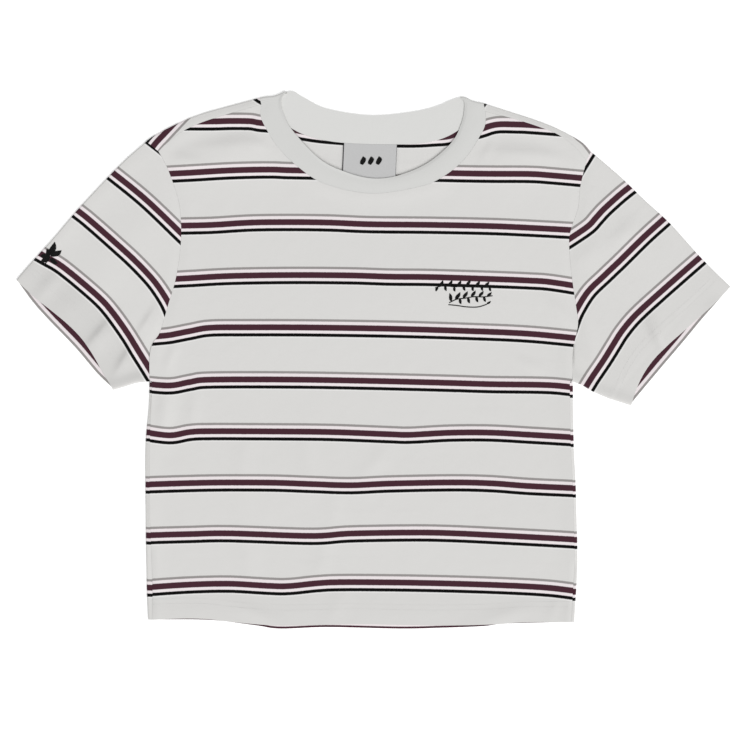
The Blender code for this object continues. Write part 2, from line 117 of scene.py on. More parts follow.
# How finely each stretch is divided. Pieces that share a seam share its count.
SIDE_ROWS = 63
ARMHOLE_ROWS = 91
SHOULDER_COLUMNS = 42
NECK_SIDE = 35          # steps of a neckline's steep side
NECK_MIDDLE = 84        # steps between its two sides
SLEEVE_ROWS = 77
RIB_ROWS = 24
ARC_STEPS = 12          # steps round a folded edge
OVER_STEPS = 4          # steps from a rolled edge to the seam beside it
LABEL_CELLS = 24
TURN_ROWS = 8
TURN_MOST = 0.8         # how deep a hem is turned up at most, as a share of the way to its inner line
NECK_COLUMNS = 2 * NECK_SIDE + NECK_MIDDLE
CUFF_COLUMNS = ARMHOLE_ROWS + 1     # a sleeve's armhole goes on past the seam to the tip

FINE_STEPS = 120        # steps of a line that is only measured from or sewn along
SEAM_STEPS = 480        # and of one whose distances must be exact
CURVE_STEPS = 24        # and of a curve between two points of a table

# Stripes
REPEAT = 51.0           # from one maroon band to the next
ROW_REACH = 80.0        # how far a row's line is carried on past its ends
WALE = 0.75             # one knit stitch, across and along
COURSE = 0.6
WANDER = 0.4            # how far the stripes' edges wander, from their lowest to their highest

Point = namedtuple("Point", "x y")
Crease = namedtuple("Crease", "x y angle length width height bend skew", defaults=[0.0, 1.0])
Recess = namedtuple("Recess", "depth bias")
Zone = namedtuple("Zone", "start end colour")
Half = namedtuple(
    "Half",
    "side edge side_seam armhole back_armhole shoulder_fold shoulder_seam rib_fold "
    "sleeve_fold cuff underarm_fold recess",
)


def line(*rows):
    """The points of a line, each its x and y in millimetres."""
    return np.array(rows, dtype=float)


# Each half of the shirt, as seen: side is -1 on the left and +1 on the right.
#   edge           the body's outer edge, hem to underarm
#   side_seam      the side seam, which the roll brings to the front
#   armhole        the front's armhole seam, underarm to shoulder seam
#   back_armhole   the back's armhole seam, underarm to shoulder tip
#   shoulder_fold  where the back panel starts to roll, tip to neck
#   shoulder_seam  the shoulder seam, which the roll brings to the front
#   rib_fold       where the rib starts to roll, seam to free edge
#   sleeve_fold    where the sleeve's outer edge starts to roll, tip to cuff
#   cuff           the sleeve's lower cuff edge, outer fold to underarm
#   underarm_fold  where the sleeve's inner edge starts to roll, cuff to armhole
#   recess         how deep the upper cuff edge lies inside, and where most so
LEFT = Half(
    side=-1,
    edge=line(
        (-220.5, HEM_LEFT), (-221.6, -230), (-222.6, -176), (SIDE_LEFT, -127),
        (-223, -83), (-219.8, -44), (-219.2, -22),
    ),
    side_seam=line(
        (-216.4, HEM_LEFT), (-216.2, -220), (-217.4, -183), (-218.8, -146),
        (-218.8, -88), (-217.4, -50), (-216.4, -22),
    ),
    armhole=line(
        (-219, UNDERARM), (-218.9, 3), (-216.1, 15.5), (-208.5, 28),
        (-200.9, 54), (-193.5, 79), (-188.8, 110), (-188.2, 135),
        (-190.8, 157), (-201, 187), (-210.2, 204.3),
    ),
    back_armhole=line(
        (-219, UNDERARM), (-213, 10), (-203, 45), (-197, 90),
        (-199, 140), (-208, 180), SHOULDER_TIP[0],
    ),
    shoulder_fold=line(
        SHOULDER_TIP[0], (-212.8, 218.8), (-192.4, 229.4), (-169, 239.2),
        (-138, 248), NECK_POINT[0],
    ),
    shoulder_seam=line(
        (-210.2, 204.3), (-201.8, 212.6), (-187.2, 223.6), (-169.5, 232),
        (-149.9, 238.6), (-130.3, 244.4), (-109.4, 250.2),
    ),
    rib_fold=line(
        NECK_POINT[0], (-104, 256.4), (-97, 257), (-91, 259.4), (-84.8, 263),
    ),
    sleeve_fold=line(
        SHOULDER_TIP[0], (-242.8, 194.2), (-266.2, 170.2), (-289.8, 144.7),
        (-313.2, 117.4), (-336.8, 91.2), (-348.4, 77.4),
    ),
    cuff=line(
        (-348.4, 77.4), (-334, 57.4), (-318.8, 40.2), (-292.2, 12.5),
        (-269.8, -13.7), (-255.4, -27.2),
    ),
    underarm_fold=line(
        (-255.4, -27.2), (-244, -24), (-232, -20.4), (-219, UNDERARM),
    ),
    recess=Recess(10.8, 1.12),
)
RIGHT = Half(
    side=1,
    edge=line(
        (197.4, HEM_RIGHT), (199, -230), (SIDE_RIGHT, -200), (200, -166),
        (198.6, -117), (196.8, -80), (196, -22),
    ),
    side_seam=line(
        (194.2, HEM_RIGHT), (195.8, -230), (197.4, -200), (197, -166),
        (195.4, -117), (193.6, -80), (192.8, -22),
    ),
    armhole=line(
        (195.4, UNDERARM), (195.4, -2), (196.2, 12), (201, 35),
        (198.9, 54), (195, 81), (192.3, 112), (194, 128),
        (201, 149), (203, 169), (209.2, 195.4),
    ),
    back_armhole=line(
        (195.4, UNDERARM), (199, 10), (200, 45), (197, 90),
        (199, 140), (204, 175), SHOULDER_TIP[1],
    ),
    shoulder_fold=line(
        SHOULDER_TIP[1], (202.2, 213), (179, 225.6), (155.2, 234.8),
        (132, 242.2), NECK_POINT[1],
    ),
    shoulder_seam=line(
        (209.2, 195.4), (198, 208.6), (183.3, 219.6), (168.6, 226.2),
        (141.1, 235.4), (110.2, 243.4),
    ),
    rib_fold=line(
        NECK_POINT[1], (102.4, 250.9), (96, 252.8), (91.1, 255.9), (86, 257.9),
    ),
    sleeve_fold=line(
        SHOULDER_TIP[1], (241, 178.8), (265.4, 155.4), (290.8, 132),
        (317.2, 102.6), (338.4, 81), (349.2, 70.8),
    ),
    cuff=line(
        (349.2, 70.8), (337, 56.6), (321.8, 39.2), (305, 18.8),
        (285.4, -4.2), (271.6, -20.6), (253.4, -42.4),
    ),
    underarm_fold=line(
        (253.4, -42.4), (232, -35.6), (217, -29.2), (206, -22.8), (195.4, UNDERARM),
    ),
    recess=Recess(10.8, 1.8),
)
HALVES = (LEFT, RIGHT)

# Lines that cross the shirt, left to right
HEM_FRONT = line(
    (-216.4, HEM_LEFT), (-186, -253.4), (-162, -254), (-138, -256.8),
    (-91, -260.2), (-20, -259), (66, -260.2), (120, -259),
    (146, -257.2), (194.2, HEM_RIGHT),
)
HEM_BACK = line(
    (-218.6, HEM_LEFT), (-162, -254.8), (-115, -260.2), (-91, -263.4),
    (-44, -261.9), (26, -263.4), (66, -262.6), (107, -261),
    (132, -258.4), (195.5, HEM_RIGHT),
)
NECK_FRONT = line(
    LEFT.shoulder_seam[-1], (-110, 238.6), (-104.9, 227), (-93.1, 208.4),
    (-72.5, 188.4), (-47, 172.6), (-2, NECK_DROP_FRONT), (46.1, 170),
    (70.6, 180.8), (91.1, 198.6), (104.9, 219.5), (110, 231),
    RIGHT.shoulder_seam[-1],
)
NECK_BACK = line(
    NECK_POINT[0], (-107.4, 247.6), (-94.1, 236.8), (-70.6, 222.2),
    (-42.1, 214.5), (-1, NECK_DROP_BACK), (46.1, 212.4), (72.5, 219),
    (95.1, 233.2), (105.6, 241.4), NECK_POINT[1],
)
RIB_FREE_FRONT = line(
    LEFT.rib_fold[-1], (-89.2, 257.6), (-90.2, 250.9), (-88.2, 242.1),
    (-79.4, 225.4), (-52.9, 197.4), (-28.4, 184.7), (-2, 178),
    (23.5, 180.4), (52.9, 192.6), (77, 213.2), (87, 233),
    (89.7, 248.4), (88.8, 254), RIGHT.rib_fold[-1],
)
RIB_FREE_BACK = line(
    LEFT.rib_fold[-1], (-77.4, 263.2), (-67.6, 257.4), (-44.1, 246.2),
    (-2, 239.8), (38.2, 243.2), (61.7, 248.6), (76, 254.6), RIGHT.rib_fold[-1],
)

# The middle of each maroon band, left to right, the highest row first
FRONT_ROWS = (
    line(
        (-218.5, 233.7), (-161.7, 233.6), (-140.1, 234.1), (-120.5, 233.9), (-112.7, 232.5),
        (-104.9, 231.7), (-86.2, 230.3), (-60, 227), (-20, 223.5), (20, 221),
        (50, 219.5), (70, 219.8), (80.4, 221), (95.1, 223.9), (102.9, 225.4),
        (108.8, 227.1), (115.6, 229.5), (124.5, 230.9), (139.2, 230.7), (151.9, 230.2),
        (183.3, 227.8),
    ),
    line(
        (-218.5, 181.7), (-179.3, 183.4), (-140.1, 185.6), (-100.9, 186.5), (-69.6, 185.6),
        (70.6, 183.1), (114.7, 182.3), (153.9, 182.1), (173.5, 180.9), (207.8, 178),
    ),
    line(
        (-198.9, 131.5), (-159.7, 132.3), (-120.5, 134.6), (-81.3, 135.1), (-42.1, 134.6),
        (-2.9, 133), (55.9, 132.4), (114.7, 131.2), (153.9, 129.5), (207.8, 126.6),
    ),
    line(
        (-198.9, 79.2), (-179.3, 80.2), (-140.1, 82.3), (-81.3, 83.2), (-22.5, 82.8),
        (16.7, 81.6), (55.9, 81.2), (114.7, 79.4), (153.9, 77.8), (173.5, 76.4), (202.9, 71.9),
    ),
    line(
        (-218.5, 22.6), (-211.7, 23.2), (-198.9, 24.5), (-179.3, 28.3), (-159.7, 31.6),
        (-120.5, 32), (-61.7, 31.8), (16.7, 30.6), (95.1, 28.3), (153.9, 25.6), (207.8, 20.4),
    ),
    line(
        (-223.4, -23.3), (-198.9, -25), (-179.3, -21.6), (-159.7, -19.3), (-81.3, -19.2),
        (-2.9, -20.5), (75.5, -22.5), (114.7, -23.7), (173.5, -24.7), (202.9, -28),
    ),
    line(
        (-223.4, -70.8), (-198.9, -73.8), (-179.3, -70.6), (-159.7, -69.8), (-100.9, -70),
        (-42.1, -70.6), (16.7, -72.8), (36.3, -73.3), (75.5, -71.3), (114.7, -71.2),
        (153.9, -73.3), (202.9, -76.2),
    ),
    line(
        (-223.4, -122), (-159.7, -120.2), (-100.9, -120.2), (-61.7, -121.5), (-22.5, -122.7),
        (16.7, -121.1), (75.5, -120), (114.7, -120.8), (153.9, -123.6), (202.9, -125.8),
    ),
    line(
        (-223.4, -171.8), (-179.3, -170.6), (-140.1, -169.9), (-61.7, -172.4), (-22.5, -170.1),
        (36.3, -169.1), (75.5, -169.7), (134.3, -172.5), (202.9, -176.2),
    ),
    line(
        (-223.4, -222.9), (-179.3, -220.1), (-140.1, -219.3), (-100.9, -221.4), (-81.3, -221.5),
        (-42.1, -218), (16.7, -218), (75.5, -219.1), (134.3, -221.1), (173.5, -223.4),
        (202.9, -227),
    ),
)
# The back's highest row, which shows inside the neck
BACK_TOP_ROW = line(
    (-218.5, 231.3), (-140.1, 233.7), (-99, 232.8), (-79.4, 226.4), (-61.7, 222.9),
    (-42.1, 220.6), (-2.9, 218), (36.3, 217.1), (60.8, 218.2), (73.5, 219.3),
    (85.3, 222.9), (104.9, 229.3), (124.5, 231.3), (212.7, 227.4),
)
BACK_SAG = 6.0          # how far the back's other rows hang below a straight line
STRIP_ROWS = {          # of the back panel's strip over each shoulder, the one at the neck first
    -1: (
        line((-122.4, 267.4), (-115.1, 264.2), (-107.3, 258.7), (-97.5, 254.4)),
        line(
            (-172, 256), (-183.3, 244.3), (-194.6, 232.1), (-203.8, 222.2),
            (-213.1, 212.2), (-218.6, 204.8),
        ),
    ),
    1: (
        line((96.7, 245.5), (101.2, 251.4), (107.5, 259.7), (111.4, 265.1)),
        line(
            (220.5, 203.8), (211.2, 216), (204.4, 221.9), (196, 230.8), (189.1, 240.1),
        ),
    ),
}
SLEEVE_STRIPES = {      # of each sleeve, the one at the shoulder first
    -1: (
        line((-228.3, 227.4), (-218, 219.4), (-207.2, 211.1), (-194, 199.9)),
        line(
            (-255.8, 184.2), (-240.1, 171.8), (-224.4, 158.8), (-208.7, 144.3),
            (-193.1, 129.1), (-185.2, 121.5),
        ),
        line(
            (-295, 150.4), (-279.3, 138.5), (-247.9, 110.9), (-232.3, 96.4),
            (-216.6, 79.8), (-206.8, 66.6), (-198.9, 52.9), (-193.1, 37.2),
        ),
        line(
            (-318.5, 100), (-302.8, 90.4), (-271.5, 64.3), (-255.8, 47.5),
            (-240.1, 25.5), (-224.4, 0), (-214.6, -15.7),
        ),
    ),
    1: (
        line((194, 178.4), (200.5, 189.1), (209.3, 203.3), (215.6, 213.6)),
        line(
            (185.2, 114.2), (194, 119.6), (210.7, 131.1), (218.5, 139.4),
            (226.4, 148), (242.1, 162.2), (255.8, 173),
        ),
        line(
            (193.1, 33.3), (198.9, 48), (210.7, 67), (226.4, 82.5),
            (242.1, 97.5), (265.6, 120.7), (291.1, 143.6),
        ),
        line(
            (202.9, -37.2), (210.7, -22.9), (226.4, 0.5), (235.2, 14.7), (244, 28.4),
            (257.7, 44.5), (281.3, 66.2), (312.6, 93.8), (328.3, 107.3),
        ),
    ),
}
BODY_GRAIN = Point(1, 0)
SLEEVE_GRAIN = {-1: Point(0.747, -0.665), 1: Point(0.74, 0.673)}
SLEEVE_FIRST = {-1: 20, 1: 40}      # the number of each sleeve's first row
CUFF_BAND = 8.6         # from the cuff's edge in to the maroon band that its turned-up part shows
HEM_BAND = -0.9         # and the same at the back's hem

# Soft ridges (height above 0) and troughs (below 0) of the upper layer: the middle,
# the crest's direction from +X in degrees, half length, half width, height, bend, and
# how many times wider the right side is, looking along the crest
CREASES = [Crease(*row) for row in (
    (-135, 209, 3, 50, 10, 3, 0, 2.8),
    (-184, 196, -20, 22, 7, 1.8),
    (-106, 210, -18, 13, 5, 1.8),
    (124.5, 201, -5, 52, 10, 2.6, 0, 2.8),
    (112, 206, 60, 12, 5, 1.5),
    (170, 201, -12, 26, 8, 1),
    (-207, -49, 86, 28, 6, 3.4, 0, 1.6),
    (-176, -47, 85, 26, 7, 0.8),
    (-199, 2, 70, 14, 5, 1.2),
    (183, 47, -50, 24, 6, 1.2),
    (156, -6, -25, 18, 5, 0.8),
    (-109, -251, -24, 30, 7, 1.3),
    (-35, -241, 60, 24, 9, 0.5),
    (124.5, -252, 18, 32, 7, 0.9),
    (178, -244, 70, 12, 5, 0.8),
    (0, 60, 8, 120, 60, 0.9),
    (-40, -120, -6, 130, 55, 0.8),
    (-127, -100, 86, 30, 9, 0.6),
    (-64, -96, 94, 34, 9, 0.6),
    (3, -100, 45, 26, 8, 0.6),
    (-37, -147, 88, 28, 9, 0.5),
    (-123, -193, 95, 36, 10, 0.7),
    (-50, -193, 84, 30, 9, 0.6),
    (-221, 38, 58, 15, 4, 1.5, 0, 5),
    (-267.5, 25, 50, 20, 5.5, 2.8, 0, 2.4),
    (-244, -2, 60, 18, 5, 2.8, 0, 2.4),
    (-286, 60, 42, 46, 14, 0.8),
    (-240, 120, 40, 60, 22, 0.9),
    (-318, 73, 50, 20, 8, 1.4),
    (195.6, 5, 90, 14, 1.3, -1.5),
    (279, 24, 116, 22, 6, 3.4),
    (214, 8, 104, 26, 7, 0.9),
    (212, 104, 42, 16, 8, 1, 0, 2),
    (245, 123, 40, 18, 9, 1.2),
    (338, 54, 48, 18, 9, 1.4),
    (262, 110, -44, 60, 20, 0.9),
)]
# Shallow creases of the lower layer, which lies on the surface
LOWER_CREASES = [Crease(*row) for row in (
    (-120, 150, -50, 60, 14, 0.3),
    (90, 120, 62, 70, 12, 0.35),
    (-150, -30, 84, 70, 16, 0.35),
    (140, -60, 98, 80, 14, 0.3),
    (-30, 30, 24, 90, 18, 0.25),
    (20, -150, -14, 110, 20, 0.3),
    (-90, -210, 66, 44, 12, 0.35),
    (110, -200, 108, 50, 14, 0.3),
    (-270, 90, 40, 60, 12, 0.3),
    (-250, 30, 58, 44, 10, 0.35),
    (270, 80, 140, 60, 12, 0.3),
    (240, 20, 120, 44, 10, 0.35),
)]


# ---------------------------------------------------------------- lines

def lengths(points):
    """How far along the line each of its points is."""
    steps = np.linalg.norm(np.diff(points, axis=0), axis=1)
    return np.concatenate([[0.0], np.cumsum(steps)])


def even(count):
    """Shares from 0 to 1 in this many even steps."""
    return np.linspace(0.0, 1.0, count + 1)


def along(points, shares):
    """Points of a Catmull-Rom curve through the points, at these shares of its length."""
    ends = np.vstack([points[:1], points, points[-1:]])
    a, b, c, d = (ends[k:len(ends) - 3 + k, None] for k in range(4))
    t = (np.arange(CURVE_STEPS) / CURVE_STEPS)[None, :, None]
    dense = 0.5 * (
        2 * b + (c - a) * t + (2 * a - 5 * b + 4 * c - d) * t ** 2
        + (3 * b - a - 3 * c + d) * t ** 3
    )
    dense = np.vstack([dense.reshape(-1, 2), points[-1:]])
    reach = lengths(dense)
    goals = np.asarray(shares) * reach[-1]
    return np.column_stack([np.interp(goals, reach, dense[:, k]) for k in (0, 1)])


def smooth(points, steps):
    """A smooth curve through the points, as steps + 1 points evenly spaced along it."""
    return along(points, even(steps))


def headings(points):
    """The line's direction at each of its points."""
    ahead = np.vstack([points[1:2] - points[:1], points[2:] - points[:-2], points[-1:] - points[-2:-1]])
    return ahead / np.linalg.norm(ahead, axis=1, keepdims=True)


def rightward(ahead):
    """The directions a quarter turn to the right of these."""
    return np.column_stack([ahead[:, 1], -ahead[:, 0]])


def beside(points, distance):
    """The line moved sideways: to its right by distance, or to its left if that is below 0."""
    return points + rightward(headings(points)) * np.reshape(distance, (-1, 1))


def split(points, side):
    """A seam line's two edges, half the gap off it: the one towards the body, and the other."""
    return beside(points, -side * SEAM_GAP / 2), beside(points, side * SEAM_GAP / 2)


def corner(a, b, seam):
    """Where two edges meet that both keep their distance from the seams' corner."""
    return a + b - seam


def nearest(points, target):
    """For each point, the number of the nearest point of the target, and how far it is."""
    squares = (target ** 2).sum(axis=1) - 2 * points @ target.T
    number = squares.argmin(axis=1)
    return number, np.linalg.norm(points - target[number], axis=1)


def patch(bottom, top, left, right):
    """Rows of points that fill the space between four lines with common corners (a Coons patch)."""
    u = even(len(bottom) - 1)[None, :, None]
    v = even(len(left) - 1)[:, None, None]
    across = left[:, None] * (1 - u) + right[:, None] * u
    upward = bottom[None] * (1 - v) + top[None] * v
    flat = (bottom[0] * (1 - u) + bottom[-1] * u) * (1 - v) + (top[0] * (1 - u) + top[-1] * u) * v
    return across + upward - flat


# ---------------------------------------------------------------- heights

def creased(points, creases):
    """Height that the creases add at each point."""
    rise = np.zeros(len(points))
    for crease in creases:
        turn = math.radians(crease.angle)
        dx = points[:, 0] - crease.x
        dy = points[:, 1] - crease.y
        lengthwise = (dx * math.cos(turn) + dy * math.sin(turn)) / crease.length
        crosswise = (dy * math.cos(turn) - dx * math.sin(turn)) / crease.width
        crosswise += crease.bend * lengthwise ** 2
        crosswise = np.where(crosswise < 0, crosswise / crease.skew, crosswise)
        rise += crease.height * np.exp(-lengthwise ** 2 - crosswise ** 2)
    return rise


def fade(away, reach):
    """1 at no distance, 0.37 at the reach and towards 0 beyond."""
    return np.exp(-(away / reach) ** 2)


class Relief:
    """The height of one piece's upper layer: lifted near its folds, creased, and dipped at seams."""

    def __init__(self, folds, seams, hem):
        """A fold is a line, the height there and how far the lift reaches.

        A seam is a line, how deep the cloth dips there and how far from it.
        """
        self.folds = [(smooth(fold, FINE_STEPS), top - TOP_OPEN, soft) for fold, top, soft in folds]
        self.seams = [(smooth(seam, SEAM_STEPS), depth, soft) for seam, depth, soft in seams]
        self.hem = smooth(hem, SEAM_STEPS)

    def __call__(self, points):
        flat = points.reshape(-1, 2)
        lift = np.zeros(len(flat))
        closest = np.full(len(flat), np.inf)
        for fold, rise, soft in self.folds:
            away = nearest(flat, fold)[1]
            lift = np.maximum(lift, rise * fade(away, soft))
            closest = np.minimum(closest, away)
        height = TOP_OPEN + lift
        height += (1 - fade(closest, CREASE_START)) * creased(flat, CREASES)
        dip = np.zeros(len(flat))
        for seam, depth, soft in self.seams:
            dip = np.maximum(dip, depth * fade(nearest(flat, seam)[1], soft))
        height -= dip
        from_hem = nearest(flat, self.hem)[1]
        height += HEM_RISE / (1 + np.exp((from_hem - HEM_DEPTH) / HEM_SOFT))
        height -= STITCH_DIP * fade(from_hem - STITCHED, STITCH_SOFT)
        return height.reshape(points.shape[:-1])


def raised(points, height):
    """The flat points with their heights."""
    heights = np.broadcast_to(height, points.shape[:-1])
    return np.concatenate([points, heights[..., None]], axis=-1)


def lower(points):
    """The flat points in the lower layer."""
    rise = creased(points.reshape(-1, 2), LOWER_CREASES).reshape(points.shape[:-1])
    return raised(points, rise)


# ---------------------------------------------------------------- stripes

def carried_on(row):
    """A row's line as a smooth curve, carried straight on past both ends."""
    curve = smooth(row, FINE_STEPS)
    ahead = headings(curve)
    return np.vstack([curve[0] - ahead[0] * ROW_REACH, curve, curve[-1] + ahead[-1] * ROW_REACH])


def striped(points, rows, grain, first=0):
    """Texture coordinates of the points for a piece whose maroon bands run along these rows.

    The rows are numbered from first on.
    """
    flat = points[..., :2].reshape(-1, 2)
    closest = np.full(len(flat), np.inf)
    across = np.zeros(len(flat))
    for number, row in enumerate(rows):
        curve = carried_on(row)
        sideways = rightward(headings(curve))
        index, away = nearest(flat, curve)
        gap = ((flat - curve[index]) * sideways[index]).sum(axis=1) / REPEAT
        better = away < closest
        closest[better] = away[better]
        across[better] = first + number + np.clip(gap[better], -0.5, 0.5)
    forward = flat @ np.array(grain) / REPEAT
    return np.column_stack([forward, across]).reshape(*points.shape[:-1], 2)


def plain(points):
    """Texture coordinates of a grid without stripes: how far along its rows, and across them."""
    along_rows = np.linalg.norm(np.diff(points[..., :2], axis=1), axis=2).mean(axis=0)
    across_rows = np.linalg.norm(np.diff(points[..., :2], axis=0), axis=2).mean(axis=1)
    u = np.concatenate([[0.0], np.cumsum(along_rows)]) / REPEAT
    v = np.concatenate([[0.0], np.cumsum(across_rows)]) / REPEAT
    return np.stack(np.meshgrid(u, v), axis=-1)


def back_rows():
    rows = [BACK_TOP_ROW]
    for row in FRONT_ROWS[1:]:
        middle = (row[0] + row[-1]) / 2 - (0.0, BACK_SAG)
        rows.append(np.vstack([row[0], middle, row[-1]]))
    return rows


# ---------------------------------------------------------------- materials

def linear(*levels):
    """A colour for a shader from its levels in a picture, 0 to 255."""
    shares = [level / 255 for level in levels]
    return tuple(x / 12.92 if x <= 0.04045 else ((x + 0.055) / 1.055) ** 2.4 for x in shares)


GROUND = linear(217, 216, 214)
GREY = linear(150, 146, 145)
PALE_ABOVE = linear(234, 226, 228)
MAROON = linear(70, 40, 50)
PALE_BELOW = linear(237, 229, 231)
BLACK = linear(6, 6, 6)
FAINT = linear(230, 229, 228)
# the rib's upper half, painted darker than its lower half as painted shade
RIB_UPPER_SHADED = linear(211, 211, 209)
RIB_INSIDE = linear(217, 217, 215)
LABEL_GREY = linear(198, 198, 198)
# painted shade along the label's left and right sides
LABEL_EDGE_SHADE = linear(50, 50, 52)

# The stripes' zones across the rows, in millimetres from a maroon band's middle
ZONES = (
    Zone(-8.2, -6.0, GREY),
    Zone(-5.9, -3.0, PALE_ABOVE),
    Zone(-2.9, 2.9, MAROON),
    Zone(3.0, 5.7, PALE_BELOW),
    Zone(5.8, 8.9, BLACK),
    Zone(9.1, 10.2, FAINT),
)
ZONE_SOFT = 0.35        # how gradually one zone turns into the next

# A band of the cloth painted darker as painted shade: its middle in the second coordinate, its reach,
# and how much darker
PaintedShade = namedtuple("PaintedShade", "middle reach darker")
PAINTED_TURN_SHADE = (             # painted shade: bands of the second coordinate, about where the cloth is turned up (hem, left and right cuff), painted darker
    PaintedShade(9.5, 0.3, 0.03),
    PaintedShade(23.6, 0.4, 0.075),
    PaintedShade(43.6, 0.4, 0.02),
)


class Graph:
    """A material's nodes, with short names for what is used again and again."""

    def __init__(self, name):
        self.material = bpy.data.materials.new(name)
        self.material.use_nodes = True
        self.tree = self.material.node_tree
        self.shader = self.tree.nodes["Principled BSDF"]

    def node(self, kind, **values):
        made = self.tree.nodes.new("ShaderNode" + kind)
        for key, value in values.items():
            setattr(made, key, value)
        return made

    def link(self, output, target):
        self.tree.links.new(output, target)

    def give(self, value, target):
        """Links an output to an input, or sets the input to a number or a colour."""
        if isinstance(value, bpy.types.NodeSocket):
            self.link(value, target)
        elif isinstance(value, tuple):
            target.default_value = (*value, 1.0)
        else:
            target.default_value = value

    def math(self, operation, *terms):
        """The result of a sum: each of its terms is an output or a number."""
        made = self.node("Math", operation=operation)
        for term, target in zip(terms, made.inputs):
            self.give(term, target)
        return made.outputs[0]

    def noise(self, scale, detail):
        made = self.node("TexNoise")
        made.inputs["Scale"].default_value = scale
        made.inputs["Detail"].default_value = detail
        self.link(self.node("TexCoord").outputs["Object"], made.inputs["Vector"])
        return made.outputs["Fac"]

    def coordinates(self):
        """The two texture coordinates of the cloth."""
        apart = self.node("SeparateXYZ")
        self.link(self.node("UVMap", uv_map="cloth").outputs["UV"], apart.inputs[0])
        return apart.outputs[0], apart.outputs[1]

    def bump(self, height, distance, strength, below=None):
        made = self.node("Bump")
        made.inputs["Distance"].default_value = distance * MM
        made.inputs["Strength"].default_value = strength
        self.link(height, made.inputs["Height"])
        if below is not None:
            self.link(below, made.inputs["Normal"])
        return made.outputs["Normal"]

    def mixed(self, factor, first, second, blend="MIX"):
        """Two colours mixed: each is an output or a colour."""
        made = self.node("Mix", data_type="RGBA", blend_type=blend)
        for value, number in ((factor, 0), (first, 6), (second, 7)):
            self.give(value, made.inputs[number])
        return made.outputs[2]

    def finish(self, colour, normal, roughness, sheen):
        inputs = self.shader.inputs
        self.give(colour, inputs["Base Color"])
        if normal is not None:
            self.link(normal, inputs["Normal"])
        inputs["Roughness"].default_value = roughness
        inputs["Specular IOR Level"].default_value = 0.06
        inputs["Sheen Weight"].default_value = sheen
        inputs["Sheen Roughness"].default_value = 0.6
        return self.material


def knit(graph, u, v):
    """The height of jersey's face: columns of small V-shaped stitches."""
    column = graph.math("MULTIPLY", u, REPEAT / WALE)
    course = graph.math("MULTIPLY", v, REPEAT / COURSE)
    offset = graph.math("SUBTRACT", graph.math("FRACT", column), 0.5)
    aside = graph.math("MULTIPLY", graph.math("ABSOLUTE", offset), 2.0)
    phase = graph.math("ADD", course, graph.math("MULTIPLY", aside, 0.5))
    loops = graph.math("SINE", graph.math("MULTIPLY", phase, 2 * math.pi))
    crown = graph.math("SUBTRACT", 1.0, graph.math("POWER", aside, 2.0))
    return graph.math("ADD", crown, graph.math("MULTIPLY", loops, 0.4))


def striped_jersey():
    graph = Graph("striped_jersey")
    u, v = graph.coordinates()
    wander = graph.math("SUBTRACT", graph.noise(900.0, 1.0), 0.5)
    across = graph.math("ADD", v, graph.math("MULTIPLY", wander, WANDER / REPEAT))
    place = graph.math("FRACT", graph.math("ADD", across, 0.5))
    ramp = graph.node("ValToRGB")
    graph.link(place, ramp.inputs[0])
    stops = ramp.color_ramp.elements
    for stop in stops:
        stop.color = (*GROUND, 1.0)
    marks = [(ZONES[0].start - ZONE_SOFT, GROUND)]
    for zone in ZONES:
        marks.append((zone.start + ZONE_SOFT / 2, zone.colour))
        marks.append((zone.end - ZONE_SOFT / 2, zone.colour))
    marks.append((ZONES[-1].end + ZONE_SOFT, GROUND))
    for place_mm, colour in marks:
        stop = stops.new(0.5 + place_mm / REPEAT)
        stop.color = (*colour, 1.0)
    fibre_tone_and_shade = graph.math("ADD", 0.97, graph.math("MULTIPLY", graph.noise(2600.0, 2.0), 0.06))
    # painted shade: the bands near the hem and the cuffs are darkened here, on top of the fibres'
    # random tone
    for zone in PAINTED_TURN_SHADE:
        inside = graph.math("COMPARE", v, zone.middle, zone.reach)
        fibre_tone_and_shade = graph.math("SUBTRACT", fibre_tone_and_shade, graph.math("MULTIPLY", inside, zone.darker))
    shade = graph.node("CombineColor")
    for target in shade.inputs:
        graph.link(fibre_tone_and_shade, target)
    colour = graph.mixed(1.0, ramp.outputs[0], shade.outputs[0], "MULTIPLY")
    soft = graph.bump(graph.noise(45.0, 3.0), 1.2, 0.35)
    fine = graph.bump(knit(graph, u, v), 0.12, 0.35, soft)
    return graph.finish(colour, fine, 0.92, 0.03)


RIB_PITCH = 1.3         # from one rib to the next
RIB_INSIDE_V = 2.0      # added to the second coordinate of the rib's lower half
WARP = 0.45             # the label's threads, lengthwise and crosswise
WEFT = 0.35
EDGE_SHADE_WIDTH = 0.85, 0.3       # how wide the painted shade along the label's sides is, left and right


def plain_rib():
    """Fine ribs. The lower half shows the rib's other face; the upper half is painted darker, as
    painted shade.
    """
    graph = Graph("plain_rib")
    u, v = graph.coordinates()
    turns = graph.math("MULTIPLY", u, 2 * math.pi * REPEAT / RIB_PITCH)
    ribs = graph.math("ADD", graph.math("SINE", turns), 1.0)
    fine = graph.bump(ribs, 0.12, 0.3, graph.bump(graph.noise(60.0, 3.0), 0.8, 0.3))
    # painted shade: the upper half gets the darker colour, the lower half the rib's own
    inside = graph.math("GREATER_THAN", v, RIB_INSIDE_V - 0.1)
    colour = graph.mixed(inside, RIB_UPPER_SHADED, RIB_INSIDE)
    return graph.finish(colour, fine, 0.92, 0.03)


